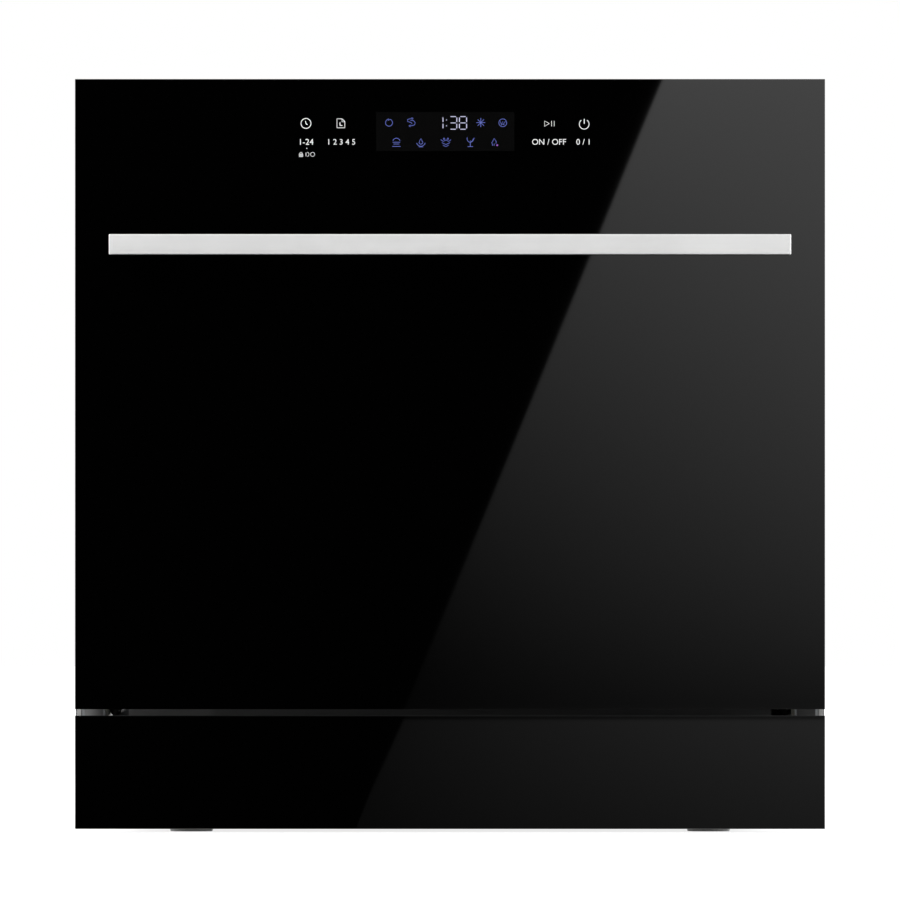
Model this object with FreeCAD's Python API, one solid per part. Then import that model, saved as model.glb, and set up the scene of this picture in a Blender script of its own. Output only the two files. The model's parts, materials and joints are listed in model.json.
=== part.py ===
"""A compact built-in dishwasher: drop-down black glass door over a fixed kick plate, steel tub,
two wire racks, two spray arms, and the wash machinery in the base under the tub.

Millimetres. +X is to the right of someone facing the door, +Y runs from the door to the rear
panel, +Z is up. The origin is the middle of the overall footprint, on the floor.
"""

import FreeCAD, Part
import math
import os

Vector = FreeCAD.Vector

# Overall front: a 595 mm square of glass that covers a 600 mm furniture front
front_width = 595.0
front_height = 595.0
kick_height = 90.0
kick_gap = 5.0
floor_gap = 3.0
body_width = 550.0
body_depth = 500.0
body_drop = 3.0
glass_thickness = 4.0
glass_corner = 2.5
glass_chamfer = 0.6
door_thickness = 46.0
door_seal_gap = 4.0
sheet = 0.8
run_gap = 0.3
overrun = 20.0
round_sides = 24
middle_round = 20.0
middle_round_sides = 16
small_round = 8.0
small_round_sides = 12
corner_flats = 4

# Hinge: a pin on each side, close behind and above the lower edge of the door glass
hinge_back = 24.0
hinge_clear = 2.0
pin_radius = 4.0
pin_play = 0.05
hinge_plate = 2.5
hinge_knuckle = 11.0
hinge_side_gap = 5.5
arm_plate = 3.0
arm_leg_length = 170.0
arm_leg_back = 9.0
arm_tab = 14.0
arm_tail_back = 38.0
arm_tail_drop = 22.0
arm_tail_radius = 6.0
bracket_length = 270.0
bracket_foot = 14.0
anchor_radius = 3.0
spring_radius = 5.0
spring_end_gap = 14.0
spring_hook_radius = 1.2

# Handle: a flat bar on two stand-offs, bolted through the door glass
handle_width = 542.0
handle_height = 16.7
handle_top_drop = 122.8
handle_reach = 35.0
handle_bar_depth = 9.0
handle_edge = 0.5
post_inset = 34.0
post_width = 22.0
post_height = 12.0
post_corner = 4.0
post_screw_radius = 2.5
post_screw_play = 0.4
post_screw_head = 4.5
post_screw_head_height = 3.0

# Door pan behind the glass, and the pressed inner liner
pan_inset = 1.5
pan_lip = 6.0
window_width = 250.0
window_height = 46.0
window_drop = 45.5
liner_flange = 12.0
liner_overlap = 0.2
liner_bottom_drop = 12.0
liner_top_drop = 3.0
recess_width = 410.0
recess_depth = 8.0
recess_corner = 25.0
recess_bottom_rise = 40.0
recess_top_drop = 50.0
notch_width = 22.0
notch_clear = 4.0

# Control unit at the top of the door
control_width = 290.0
control_height = 52.0
control_depth = 24.0
control_wall = 2.0
board_thickness = 1.6
display_width = 112.0
display_height = 30.0
display_side = 5.0
touch_pad_radius = 5.0
touch_pad_places = (-119.0, -87.0, 74.0, 103.0)

# Detergent and rinse-aid dispenser in the liner
dispenser_width = 200.0
dispenser_height = 104.0
dispenser_bezel = 3.0
dispenser_border = 8.0
dispenser_depth = 24.0
dispenser_corner = 8.0
dispenser_middle_share = 0.46
cup_width = 52.0
cup_height = 56.0
cup_depth = 20.0
cup_inset = 14.0
cup_corner = 6.0
lid_border = 5.0
lid_thickness = 2.6
lid_grip = 1.6
lid_grip_width = 6.0
lid_travel = 50.0
lid_rail = 3.2
rinse_radius = 18.0
rinse_stem_radius = 12.0
rinse_stem_length = 9.0
rinse_head = 3.2
rinse_grip = 2.0
rinse_grip_width = 5.0
rinse_inset = 30.0

# Door lock and the strike that it catches
lock_width = 70.0
lock_height = 22.0
lock_depth = 24.0
lock_mouth_width = 24.0
lock_mouth_height = 8.0
strike_width = 18.0
strike_thickness = 5.0
strike_reach = 17.0
strike_foot_width = 34.0
strike_foot_height = 8.0
strike_foot_thickness = 2.0
strike_drop = 5.5

# Steel tub
tub_side_gap = 25.0
tub_rear_gap = 30.0
tub_wall = 0.8
tub_top_drop = 20.0
tub_corner = 30.0
ledge_width = 30.0
ledge_height = 14.0
ledge_slope = 8.0
lip_height = 13.0
basin_depth = 11.0
basin_slope = 22.0
basin_edge_gap = 12.0
basin_salt_gap = 48.0
basin_front = 160.0
basin_back = 62.0
basin_corner = 60.0
sump_hole_radius = 50.0
sump_place_share = 0.472
sump_forward = 50.0
salt_hole_radius = 27.0
salt_side_gap = 44.0
salt_back = 90.0
flange_tail_slot = 190.0
seal_width = 8.0
seal_offset = 2.0
seal_height = 3.7
lower_seal_height = 14.0
lower_seal_drop = 1.4

# Outer casing
mount_flange = 21.0
mount_hole_radius = 2.25
mount_hole_rise = 158.0
mount_hole_drop = 95.0
casing_bottom = 22.0
casing_return = 34.0
casing_fold = 12.0
service_width = 190.0
service_height = 70.0
service_rise = 16.0
service_inset = 25.0
rear_rib_depth = 4.0
rear_rib_width = 300.0
rear_rib_height = 36.0
rear_rib_rise = 220.0
rear_rib_pitch = 110.0
rear_rib_count = 3
cable_hole_radius = 6.0
cable_inset = 60.0
cable_rise = 60.0

# Kick plate carrier
kick_side_inset = 5.0
kick_edge_inset = 5.0
kick_shelf_gap = 3.0

# Base tray
tray_side_gap = 29.0
tray_wall = 3.0
tray_floor = 3.0
tray_side_height = 16.0
tray_pillar_length = 46.0
tray_pillar_inset = 34.0
tray_front_drop = 5.5
foot_inset_x = 40.0
foot_inset_y = 40.0
foot_boss_radius = 11.0
foot_boss_height = 20.0
foot_stud_radius = 5.0
foot_stud_play = 0.1
foot_stud_length = 30.0
foot_pad_radius = 17.0
foot_pad_height = 9.0
foot_hex_radius = 9.0
foot_hex_height = 6.0

# Sump, filters and spray arms
sump_wall = 3.0
sump_depth = 62.0
sump_flange = 8.0
suction_radius = 16.0
filter_radius = 44.0
filter_wall = 1.6
filter_depth = 40.0
filter_handle_height = 8.0
filter_handle_width = 9.0
filter_handle_bar = 3.0
filter_collar = 2.0
filter_plate_border = 6.0
filter_plate_thickness = 1.2
post_radius = 16.0
post_spigot_radius = 9.0
post_spigot_height = 15.0
arm_play = 0.1
arm_lift = 16.0
lower_arm_gap = 60.0
upper_arm_gap = 74.0
arm_width = 44.0
arm_tip_width = 30.0
arm_thickness = 9.0
arm_edge = 4.0
arm_crown = 5.0
arm_hub_radius = 25.0
arm_hub_height = 13.0
arm_bend = 34.0
jet_half_width = 1.2
jet_half_length = 4.0
jet_count = 3
jet_first = 62.0
jet_pitch = 48.0

# Salt container and its cap
softener_width = 118.0
softener_depth = 150.0
softener_height = 74.0
softener_corner = 10.0
softener_neck_wall = 3.0
salt_cap_radius = 31.0
salt_cap_height = 6.0
salt_stem_radius = 20.0
salt_stem_length = 10.0
salt_grip_height = 4.0
salt_grip_width = 6.0
salt_grip_share = 0.7

# Pumps, valve and water ways in the base
motor_radius = 31.0
motor_length = 92.0
volute_radius = 33.0
volute_length = 34.0
volute_lift = 2.0
port_width = 20.0
drain_motor_width = 42.0
drain_motor_length = 46.0
drain_head_radius = 25.0
drain_head_length = 20.0
saddle_width = 20.0
saddle_share = 0.6
valve_width = 34.0
valve_height = 30.0
valve_length = 42.0
inlet_radius = 13.2
inlet_length = 15.0
inlet_bore = 7.0
inlet_wall = 2.0
coil_radius = 12.0
coil_height = 20.0
valve_inset = 115.0
water_rise = 36.0
drain_inset = 175.0
spigot_radius = 10.5
spigot_bore = 7.5
spigot_length = 24.0
hose_radius = 8.0
hose_side_gap = 21.0
hose_collar_radius = 14.0
hose_collar_length = 8.0
air_break_thickness = 18.0
air_break_depth = 230.0
air_break_height = 250.0
air_break_drop = 135.0
air_break_back = 90.0
air_break_corner = 18.0
duct_width = 44.0
duct_depth = 13.0
duct_floor_height = 11.0
duct_mouth_width = 30.0
duct_mouth_height = 12.0
duct_mouth_reach = 6.0

# Wire racks. The wires are welded where their flats meet.
wire_radius = 2.0
rim_radius = 2.6
rack_bend = 14.0
rack_front_gap = 30.0
rack_rear_gap = 22.0
lower_floor_rise = 27.0
lower_rack_gap = 28.0
lower_height = 128.0
lower_long_wire_count = 13
lower_cross_wire_count = 7
lower_middle_rim_share = 0.5
upper_floor_share = 0.606
upper_rack_gap = 40.0
upper_height = 82.0
upper_long_wire_count = 13
upper_cross_wire_count = 6

# Wheels of the lower rack
wheel_radius = 17.5
wheel_width = 11.0
wheel_rim = 3.5
wheel_recess = 6.0
wheel_hub_radius = 6.5
axle_radius = 3.0
axle_play = 0.06
axle_head_radius = 5.0
axle_head = 1.6
carrier_thickness = 4.6
carrier_half = 9.0
carrier_drop = 9.0
carrier_rise = 34.0
carrier_foot_half = 5.0
wheel_side_gap = 0.4
front_wheel_index = 1
rear_wheel_index = 5

# Folding rows of tines in the lower rack
tine_wire_indices = (3, 7)
tine_base_radius = 2.2
tine_radius = 1.7
tine_height = 82.0
tine_count = 11
tine_pitch = 30.0
tine_clip_half = 4.0
tine_clip_length = 6.0
tine_clip_top = 3.0
tine_play = 0.15

# Cutlery basket
basket_width = 62.0
basket_length = 240.0
basket_height = 108.0
basket_wall = 2.0
basket_cell_count = 5
basket_slot_width = 6.0
basket_slot_rise = 22.0
basket_slot_height = 66.0
basket_slot_shares = (0.3, 0.7)
basket_handle_height = 22.0
basket_handle_thickness = 5.0
basket_handle_length = 90.0

# Upper rack rails, guides and glides
rail_height = 16.0
rail_depth = 10.0
rail_wall = 1.4
rail_rise = 48.0
rail_inset = 5.0
rail_front_gap = 16.0
rail_rear_gap = 18.0
guide_length = 34.0
guide_lip = 4.0
guide_places = (12.0, 150.0)
glide_length = 30.0
glide_corner = 3.0
glide_wire_indices = (3, 5)
shelf_width = 92.0
shelf_thickness = 3.0
shelf_rod = 2.4
shelf_drop = 30.0
shelf_slot_count = 6
shelf_border = 10.0
shelf_clip = 5.0
shelf_wire_indices = (1, 3)

# Upper spray arm feed on the rack
feed_width = 30.0
feed_height = 11.0
feed_spigot_radius = 8.0
feed_spigot_length = 15.0
feed_cap_radius = 11.0
feed_cap = 2.4
feed_dock_gap = 0.4

# Screws
screw_head_radius = 4.4
screw_head_height = 2.6
screw_shank_radius = 1.9
screw_shank_length = 8.0
screw_play = 0.2

# Cable entry in the rear panel
cable_bore = 3.8
cable_flange_radius = 10.0
cable_flange = 2.0
cable_nut_length = 6.0

# Levels and planes worked out from the sizes above
front_y = (handle_reach - body_depth - cable_flange) / 2
glass_back_y = front_y + glass_thickness
liner_y = front_y + door_thickness
body_y = liner_y + door_seal_gap
rear_y = front_y + body_depth
kick_bottom = floor_gap
kick_top = kick_bottom + kick_height
door_bottom = kick_top + kick_gap
door_top = floor_gap + front_height
body_top = door_top - body_drop
hinge_y = front_y + hinge_back
hinge_z = kick_top + hinge_clear + hinge_back
track_z = hinge_z + door_thickness - hinge_back
floor_z = track_z - ledge_height
tub_back_y = rear_y - tub_rear_gap
tub_top = body_top - tub_top_drop
body_half = body_width / 2
tub_half = body_half - tub_side_gap
floor_half = tub_half - ledge_width - ledge_slope
front_half = front_width / 2
casing_half = body_half - sheet
middle_y = (body_y + tub_back_y) / 2
basin_z = floor_z - basin_depth
basin_right = floor_half - basin_edge_gap - basin_slope
lip_z = floor_z - lip_height
sump_x = basin_right * sump_place_share
sump_y = middle_y - sump_forward
salt_x = salt_side_gap - floor_half
salt_y = middle_y + salt_back
basin_left = -salt_x - basin_salt_gap
tray_z = casing_bottom + sheet
tray_top = tray_z + tray_floor
tray_half = body_half - tray_side_gap
lower_half_width = tub_half - lower_rack_gap
upper_half_width = tub_half - upper_rack_gap
upper_floor_z = track_z + (tub_top - track_z) * upper_floor_share
valve_x = valve_inset - body_half
drain_x = drain_inset - body_half
cable_x = body_half - cable_inset
water_z = tray_z + water_rise
cable_z = tray_z + cable_rise
tray_front_top = lip_z + tray_front_drop
arm_x = casing_half - hinge_plate - hinge_side_gap
sweep_radius = math.hypot(hinge_back, hinge_z - door_bottom)
handle_top = door_top - handle_top_drop
handle_z = handle_top - handle_height / 2


def box(x0, x1, y0, y1, z0, z1):
    return Part.makeBox(x1 - x0, y1 - y0, z1 - z0, Vector(x0, y0, z0))


def along(axis, a, u, v):
    """The point at a along the axis, and at u and v along the other two, in X, Y, Z order."""
    return {"x": Vector(a, u, v), "y": Vector(u, a, v), "z": Vector(u, v, a)}[axis]


def corner(u, v, r, quarter, flats):
    """The points of a round corner in flats, about a centre, over one quarter turn."""
    turns = [(quarter + i / flats) * math.pi / 2 for i in range(flats + 1)]
    return [(u + r * math.cos(turn), v + r * math.sin(turn)) for turn in turns]


def rounded(u0, u1, v0, v1, r, flats):
    """A rectangle's outline with its four corners rounded in flats."""
    centres = ((u1 - r, v1 - r), (u0 + r, v1 - r), (u0 + r, v0 + r), (u1 - r, v0 + r))
    return [point for i, (u, v) in enumerate(centres) for point in corner(u, v, r, i, flats)]


def plate(axis, a0, a1, u0, u1, v0, v1, r):
    """A flat plate with four round corners, from a0 to a1 along the axis."""
    return prism(axis, a0, a1, rounded(u0, u1, v0, v1, r, corner_flats))


def prism(axis, a0, a1, points):
    """A straight-sided solid from a0 to a1 along the axis, on an outline of (u, v) points."""
    return polygon([along(axis, a0, u, v) for u, v in points]).extrude(along(axis, a1 - a0, 0, 0))


def rod(axis, a0, a1, u, v, r):
    return Part.makeCylinder(r, a1 - a0, along(axis, a0, u, v), along(axis, 1, 0, 0))


def hexagon(axis, a0, a1, u, v, r):
    return prism(axis, a0, a1, ring(u, v, r, 6))


def sides_of(r):
    """How many flats a round of this radius has."""
    if r < small_round:
        return small_round_sides
    return middle_round_sides if r < middle_round else round_sides


def ring(u, v, r, count):
    """A round outline in flats, with its corners on the radius."""
    step = 2 * math.pi / count
    return [(u + r * math.cos(i * step), v + r * math.sin(i * step)) for i in range(count)]


def bar(axis, a0, a1, u, v, r):
    """A round piece in flats, for rounds that nothing turns on."""
    return prism(axis, a0, a1, ring(u, v, r, sides_of(r)))


def bar_hole(axis, a0, a1, u, v, r):
    """A round hole in flats that clears the radius all round."""
    count = sides_of(r)
    return prism(axis, a0, a1, ring(u, v, r / math.cos(math.pi / count), count))


def turned(axis, a, u, v, profile):
    """A piece turned about the axis, in flats. The profile is (radius, place along the axis) points."""
    count = sides_of(max(r for r, _ in profile))
    rings = [[along(axis, a + h, x, y) for x, y in ring(u, v, r, count)] for r, h in profile]
    faces = []
    for (one, other), ((r0, _), (r1, _)) in zip(pairs(rings), pairs(profile)):
        for (p, q), (t, w) in zip(pairs(one), pairs(other)):
            if r0 > 0 and r1 > 0:
                faces.append(polygon([p, q, w, t]))
            elif r0 > 0:
                faces.append(polygon([p, q, t]))
            elif r1 > 0:
                faces.append(polygon([p, w, t]))
    return closed_solid(faces)


def polygon(corners):
    return Part.Face(Part.makePolygon(corners + corners[:1]))


def pairs(items):
    """Each item with the next one, and the last with the first."""
    return list(zip(items, items[1:] + items[:1]))


def closed_solid(faces):
    solid = Part.Solid(Part.Shell(faces))
    if solid.Volume < 0:
        solid.reverse()
    return solid.removeSplitter()


def stacked(rings):
    """A solid through outlines of the same count of corners, one above the other."""
    faces = [polygon(rings[0]), polygon(rings[-1])]
    for one, other in zip(rings, rings[1:]):
        for (p, q), (t, w) in zip(pairs(one), pairs(other)):
            faces += [polygon([p, q, w]), polygon([p, w, t])]
    return closed_solid(faces)


def fused(first, *others):
    return first.multiFuse(list(others)).removeSplitter() if others else first


def mirrored(shape):
    return shape.mirror(Vector(0, 0, 0), Vector(1, 0, 0))


def both_sides(*shapes):
    return [s for shape in shapes for s in (shape, mirrored(shape))]


def wire(points, flat, normal, sides, closed=False):
    """A bent wire along points in one plane, mitred at its bends, with its flats at one distance from its
    middle. Two flats lie across the plane. The wires that repeat have four flats and the others six."""
    before = [points[-1] if closed else None] + points[:-1]
    after = points[1:] + [points[0] if closed else None]
    rings = []
    for p, b, n in zip(points, before, after):
        came = (p - b).normalize() if b else (n - p).normalize()
        goes = (n - p).normalize() if n else came
        side = (came + goes).normalize().cross(normal).normalize()
        stretch = 1 / side.dot(goes.cross(normal).normalize())
        reach = flat / math.cos(math.pi / sides)
        turns = [math.pi / 2 + (i + 1 / 2) * 2 * math.pi / sides for i in range(sides)]
        rings.append([p + normal * (reach * math.cos(t)) + side * (reach * math.sin(t) * stretch)
                      for t in turns])
    faces = []
    for one, other in pairs(rings) if closed else pairs(rings)[:-1]:
        for (p, q), (t, w) in zip(pairs(one), pairs(other)):
            faces.append(polygon([p, q, w, t]))
    ends = [] if closed else [rings[0], rings[-1]]
    faces += [polygon(end) for end in ends]
    return closed_solid(faces)


def bent(corners, size, closed=False):
    """The corners of a path, each cut across so that a bend takes size of both its runs."""
    made = []
    for i, p in enumerate(corners):
        if not closed and i in (0, len(corners) - 1):
            made.append(p)
        else:
            following = corners[(i + 1) % len(corners)]
            made.append(p + (corners[i - 1] - p).normalize() * size)
            made.append(p + (following - p).normalize() * size)
    return made


def flat_of(radius):
    """How far a hexagonal wire's flat lies from its middle."""
    return radius * math.cos(math.pi / 6)


def spaced(low, high, count):
    return [low + (high - low) * i / (count - 1) for i in range(count)]


def save(name, *shapes):
    solids = [s for shape in shapes for s in shape.Solids]
    whole = Part.makeCompound(solids) if len(solids) > 1 else solids[0]
    whole.exportStep(os.path.join("parts", name + ".step"))
    print(name, len(solids), round(whole.Volume))


def screw(axis, seat, out, u, v):
    """A hexagon-head screw whose head seats at seat and points along the axis by the sign of out."""
    head_end = seat + out * screw_head_height
    tip = seat - out * screw_shank_length
    return fused(hexagon(axis, min(seat, head_end), max(seat, head_end), u, v, screw_head_radius),
                 hexagon(axis, min(seat, tip), max(seat, tip), u, v, screw_shank_radius))


def chamfered_front(shape, y, size):
    edges = [e for e in shape.Edges if all(abs(p.Point.y - y) < run_gap for p in e.Vertexes)]
    return shape.makeChamfer(size, edges)


# Front: door glass, kick glass and the handle

post_x = handle_width / 2 - post_inset
post_hole_radius = post_screw_radius + post_screw_play
bar_back_y = front_y - handle_reach + handle_bar_depth


def door_glass():
    pane = plate("y", front_y, glass_back_y, -front_half, front_half, door_bottom, door_top, glass_corner)
    pane = chamfered_front(pane, front_y, glass_chamfer)
    holes = both_sides(bar_hole("y", front_y - overrun, glass_back_y + overrun, post_x, handle_z,
                                post_hole_radius))
    return pane.cut(holes)


def kick_glass():
    pane = plate("y", front_y, glass_back_y, -front_half, front_half, kick_bottom, kick_top, glass_corner)
    return chamfered_front(pane, front_y, glass_chamfer)


def handle_bar():
    blank = box(-handle_width / 2, handle_width / 2, front_y - handle_reach, bar_back_y,
                handle_top - handle_height, handle_top)
    return chamfered_front(blank, front_y - handle_reach, handle_edge)


def handle_posts():
    """Each stand-off sits on the glass, and its screw goes through the glass to a nut behind the pan."""
    post = plate("y", bar_back_y, front_y, post_x - post_width / 2, post_x + post_width / 2,
                 handle_z - post_height / 2, handle_z + post_height / 2, post_corner)
    stem = hexagon("y", front_y, pan_back_y, post_x, handle_z, post_screw_radius)
    nut = hexagon("y", pan_back_y, pan_back_y + post_screw_head_height, post_x, handle_z, post_screw_head)
    return both_sides(fused(post, stem, nut))


# Door pan, liner and what they hold

pan_half = front_half - pan_inset
pan_bottom = door_bottom + pan_inset
pan_top = door_top - pan_inset
pan_back_y = glass_back_y + sheet
liner_half = pan_half - sheet - liner_overlap
liner_bottom = hinge_z - liner_bottom_drop
liner_top = door_top - liner_top_drop - sheet
liner_front_y = liner_y - sheet
recess_half = recess_width / 2
recess_bottom = liner_bottom + recess_bottom_rise
recess_top = liner_top - recess_top_drop
recess_y = liner_y - recess_depth
dispenser_hole_half = dispenser_width / 2 - dispenser_border
dispenser_hole_high = dispenser_height / 2 - dispenser_border
control_z = door_top - window_drop
dispenser_z = recess_bottom + (recess_top - recess_bottom) * dispenser_middle_share
strike_z = tub_top + seal_offset + seal_width + strike_drop


def door_frame():
    """A shallow steel pan, open at the back, bonded to the glass."""
    flange_y = liner_y - liner_overlap
    outer = box(-pan_half, pan_half, glass_back_y, flange_y, pan_bottom, pan_top)
    inner = box(-pan_half + sheet, pan_half - sheet, pan_back_y, flange_y + overrun,
                pan_bottom + sheet, pan_top - sheet)
    low = box(-pan_half + sheet, pan_half - sheet, pan_back_y + pan_lip, flange_y + overrun,
              pan_bottom - overrun, pan_bottom + sheet * 2)
    window = box(-window_width / 2, window_width / 2, glass_back_y - overrun, pan_back_y + overrun,
                 control_z - window_height / 2, control_z + window_height / 2)
    holes = both_sides(bar_hole("y", glass_back_y - overrun, pan_back_y + overrun, post_x, handle_z,
                                post_hole_radius))
    corner = box(pan_half - sheet, pan_half, hinge_y, liner_y, pan_bottom, hinge_z)
    return outer.cut([inner, low, window, *holes, *both_sides(corner)])


def door_liner():
    """The pressed steel inner door: a rim that meets the seal, round a shallow recess."""
    notch_top = hinge_z + hinge_knuckle + notch_clear
    rim = box(-liner_half, liner_half, liner_front_y, liner_y, liner_bottom, liner_top)
    skirt = box(-liner_half, liner_half, liner_y - liner_flange, liner_y, notch_top, liner_top)
    inside = box(-liner_half + sheet, liner_half - sheet, liner_y - liner_flange - overrun, liner_front_y,
                 liner_bottom - overrun, liner_top - sheet)
    press = plate("y", recess_y - sheet, liner_y, -recess_half - sheet, recess_half + sheet,
                  recess_bottom - sheet, recess_top + sheet, recess_corner + sheet)
    hollow = plate("y", recess_y, liner_y + overrun, -recess_half, recess_half,
                   recess_bottom, recess_top, recess_corner)
    notch = box(arm_x - notch_width / 2, arm_x + notch_width / 2, recess_y, liner_y + overrun,
                liner_bottom - overrun, notch_top)
    mouth = box(-lock_mouth_width / 2, lock_mouth_width / 2, recess_y, liner_y + overrun,
                strike_z - lock_mouth_height / 2, strike_z + lock_mouth_height / 2)
    opening = box(-dispenser_hole_half, dispenser_hole_half, recess_y - overrun, recess_y + overrun,
                  dispenser_z - dispenser_hole_high, dispenser_z + dispenser_hole_high)
    return fused(rim.fuse(skirt.cut(inside)), press).cut([hollow, *both_sides(notch), mouth, opening])


def hinge_arms():
    """A lever on each side: its leg is fixed to the door pan, its tail pulls the balance spring."""
    x0, x1 = arm_x - arm_plate / 2, arm_x + arm_plate / 2
    leg_top = hinge_z + arm_leg_length
    reach = math.hypot(arm_tail_back, arm_tail_drop)
    aside_y, aside_z = arm_tail_radius * arm_tail_drop / reach, arm_tail_radius * arm_tail_back / reach
    outline = [
        (pan_back_y, hinge_z - hinge_knuckle), (hinge_y - aside_y, hinge_z - hinge_knuckle),
        (tail_hook_y - aside_y, tail_hook_z - aside_z), (tail_hook_y + arm_tail_radius, tail_hook_z),
        (tail_hook_y + aside_y, tail_hook_z + aside_z), (hinge_y + hinge_knuckle, hinge_z + arm_tail_radius),
        (hinge_y + arm_leg_back, hinge_z + hinge_knuckle * 2), (hinge_y + arm_leg_back, leg_top),
        (pan_back_y, leg_top)]
    tab = box(arm_x - arm_tab, x1, pan_back_y, pan_back_y + arm_plate, hinge_z + hinge_knuckle, leg_top)
    bore = rod("x", x0 - overrun, x1 + overrun, hinge_y, hinge_z, pin_radius + pin_play)
    return both_sides(fused(prism("x", x0, x1, outline), tab).cut(bore))


def lower_door_seal():
    """A rubber lip along the lower edge of the liner, level with the hinge so that it swings clear."""
    low = hinge_z - lower_seal_drop
    return prism("x", -tub_half, tub_half, [
        (liner_y, low), (body_y - run_gap - lower_seal_drop, low), (body_y - run_gap, low + lower_seal_drop),
        (body_y - run_gap, low + lower_seal_height - lower_seal_drop),
        (body_y - run_gap - lower_seal_drop, low + lower_seal_height), (liner_y, low + lower_seal_height)])


def control_housing():
    """An open plastic tray behind the window in the pan, which holds the board."""
    half, high = control_width / 2, control_height / 2
    tray = box(-half, half, pan_back_y, pan_back_y + control_depth, control_z - high, control_z + high)
    inside = box(-half + control_wall, half - control_wall, pan_back_y - overrun,
                 pan_back_y + control_depth - control_wall, control_z - high + control_wall,
                 control_z + high - control_wall)
    return tray.cut(inside)


def control_board():
    """The board, the display on it and four touch springs that reach the glass."""
    half = control_width / 2 - control_wall
    high = control_height / 2 - control_wall
    back = pan_back_y + control_depth - control_wall
    face = back - board_thickness
    board = box(-half, half, face, back, control_z - high, control_z + high)
    display = box(display_side - display_width / 2, display_side + display_width / 2, glass_back_y, face,
                  control_z - display_height / 2, control_z + display_height / 2)
    pads = [hexagon("y", glass_back_y, face, x, control_z, touch_pad_radius) for x in touch_pad_places]
    return fused(board, display, *pads)


cup_x = -dispenser_width / 2 + cup_inset + cup_width / 2
bezel_y = recess_y + dispenser_bezel
lid_half_width = cup_width / 2 + lid_border
lid_half_height = cup_height / 2 + lid_border
rinse_x = dispenser_width / 2 - rinse_inset


def dispenser_body():
    """A moulded box through the liner, with an open detergent cup, lid runners and the rinse-aid filler."""
    half, high = dispenser_width / 2, dispenser_height / 2
    bezel = plate("y", recess_y, bezel_y, -half, half, dispenser_z - high, dispenser_z + high,
                  dispenser_corner)
    body = box(-dispenser_hole_half + run_gap, dispenser_hole_half - run_gap,
               bezel_y - dispenser_depth, recess_y,
               dispenser_z - dispenser_hole_high + run_gap, dispenser_z + dispenser_hole_high - run_gap)
    cup = plate("y", bezel_y - cup_depth, bezel_y + overrun, cup_x - cup_width / 2, cup_x + cup_width / 2,
                dispenser_z - cup_height / 2, dispenser_z + cup_height / 2, cup_corner)
    filler = bar_hole("y", bezel_y - rinse_stem_length - run_gap, bezel_y + overrun, rinse_x, dispenser_z,
                      rinse_stem_radius + run_gap)
    runners = []
    for side in (-1, 1):
        edge = dispenser_z + side * (lid_half_height + run_gap)
        rail = prism("y", bezel_y, bezel_y + lid_thickness + run_gap * 2 + lid_rail / 2, [
            (cup_x - lid_half_width, edge), (cup_x + lid_half_width + lid_travel, edge),
            (cup_x + lid_half_width + lid_travel, edge + side * lid_rail),
            (cup_x - lid_half_width, edge + side * lid_rail)])
        lip = box(cup_x - lid_half_width, cup_x + lid_half_width + lid_travel,
                  bezel_y + lid_thickness + run_gap * 2, bezel_y + lid_thickness + run_gap * 2 + lid_rail / 2,
                  min(edge - side * lid_rail / 2, edge), max(edge - side * lid_rail / 2, edge))
        runners += [rail, lip]
    return fused(bezel, body, *runners).cut([cup, filler])


def dispenser_lid():
    lid = plate("y", bezel_y + run_gap, bezel_y + run_gap + lid_thickness,
                cup_x - lid_half_width, cup_x + lid_half_width,
                dispenser_z - lid_half_height, dispenser_z + lid_half_height, cup_corner)
    grip = box(cup_x + lid_half_width - lid_grip_width * 2, cup_x + lid_half_width - lid_grip_width,
               bezel_y + run_gap + lid_thickness, bezel_y + run_gap + lid_thickness + lid_grip,
               dispenser_z - cup_height / 4, dispenser_z + cup_height / 4)
    return fused(lid, grip)


def rinse_cap():
    head = bar("y", bezel_y + run_gap, bezel_y + run_gap + rinse_head, rinse_x, dispenser_z, rinse_radius)
    stem = bar("y", bezel_y - rinse_stem_length, bezel_y + run_gap, rinse_x, dispenser_z, rinse_stem_radius)
    grip = box(rinse_x - rinse_grip_width / 2, rinse_x + rinse_grip_width / 2, bezel_y + run_gap + rinse_head,
               bezel_y + run_gap + rinse_head + rinse_grip, dispenser_z - rinse_stem_radius,
               dispenser_z + rinse_stem_radius)
    return fused(head, stem, grip)


def door_lock():
    """The lock body behind the mouth in the liner, with the slot that takes the strike."""
    low = strike_z - lock_height / 2
    top = min(strike_z + lock_height / 2, liner_top - sheet)
    case = box(-lock_width / 2, lock_width / 2, liner_front_y - lock_depth, liner_front_y, low, top)
    slot = box(-lock_mouth_width / 2, lock_mouth_width / 2, liner_front_y - lock_depth + control_wall,
               liner_front_y + overrun, strike_z - lock_mouth_height / 2, strike_z + lock_mouth_height / 2)
    return case.cut(slot)


def door_strike():
    """A hook on the tub's upper flange, which the lock catches."""
    foot = box(-strike_foot_width / 2, strike_foot_width / 2, body_y - strike_foot_thickness, body_y,
               strike_z - strike_foot_height / 2, strike_z + strike_foot_height / 2)
    tongue = box(-strike_width / 2, strike_width / 2, body_y - strike_reach, body_y - strike_foot_thickness,
                 strike_z - strike_thickness / 2, strike_z + strike_thickness / 2)
    eye = box(-strike_width / 4, strike_width / 4, body_y - strike_reach * 3 / 4, body_y - strike_reach / 2,
              strike_z - overrun, strike_z + overrun)
    return fused(foot, tongue).cut(eye)


# Tub and seals

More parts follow.
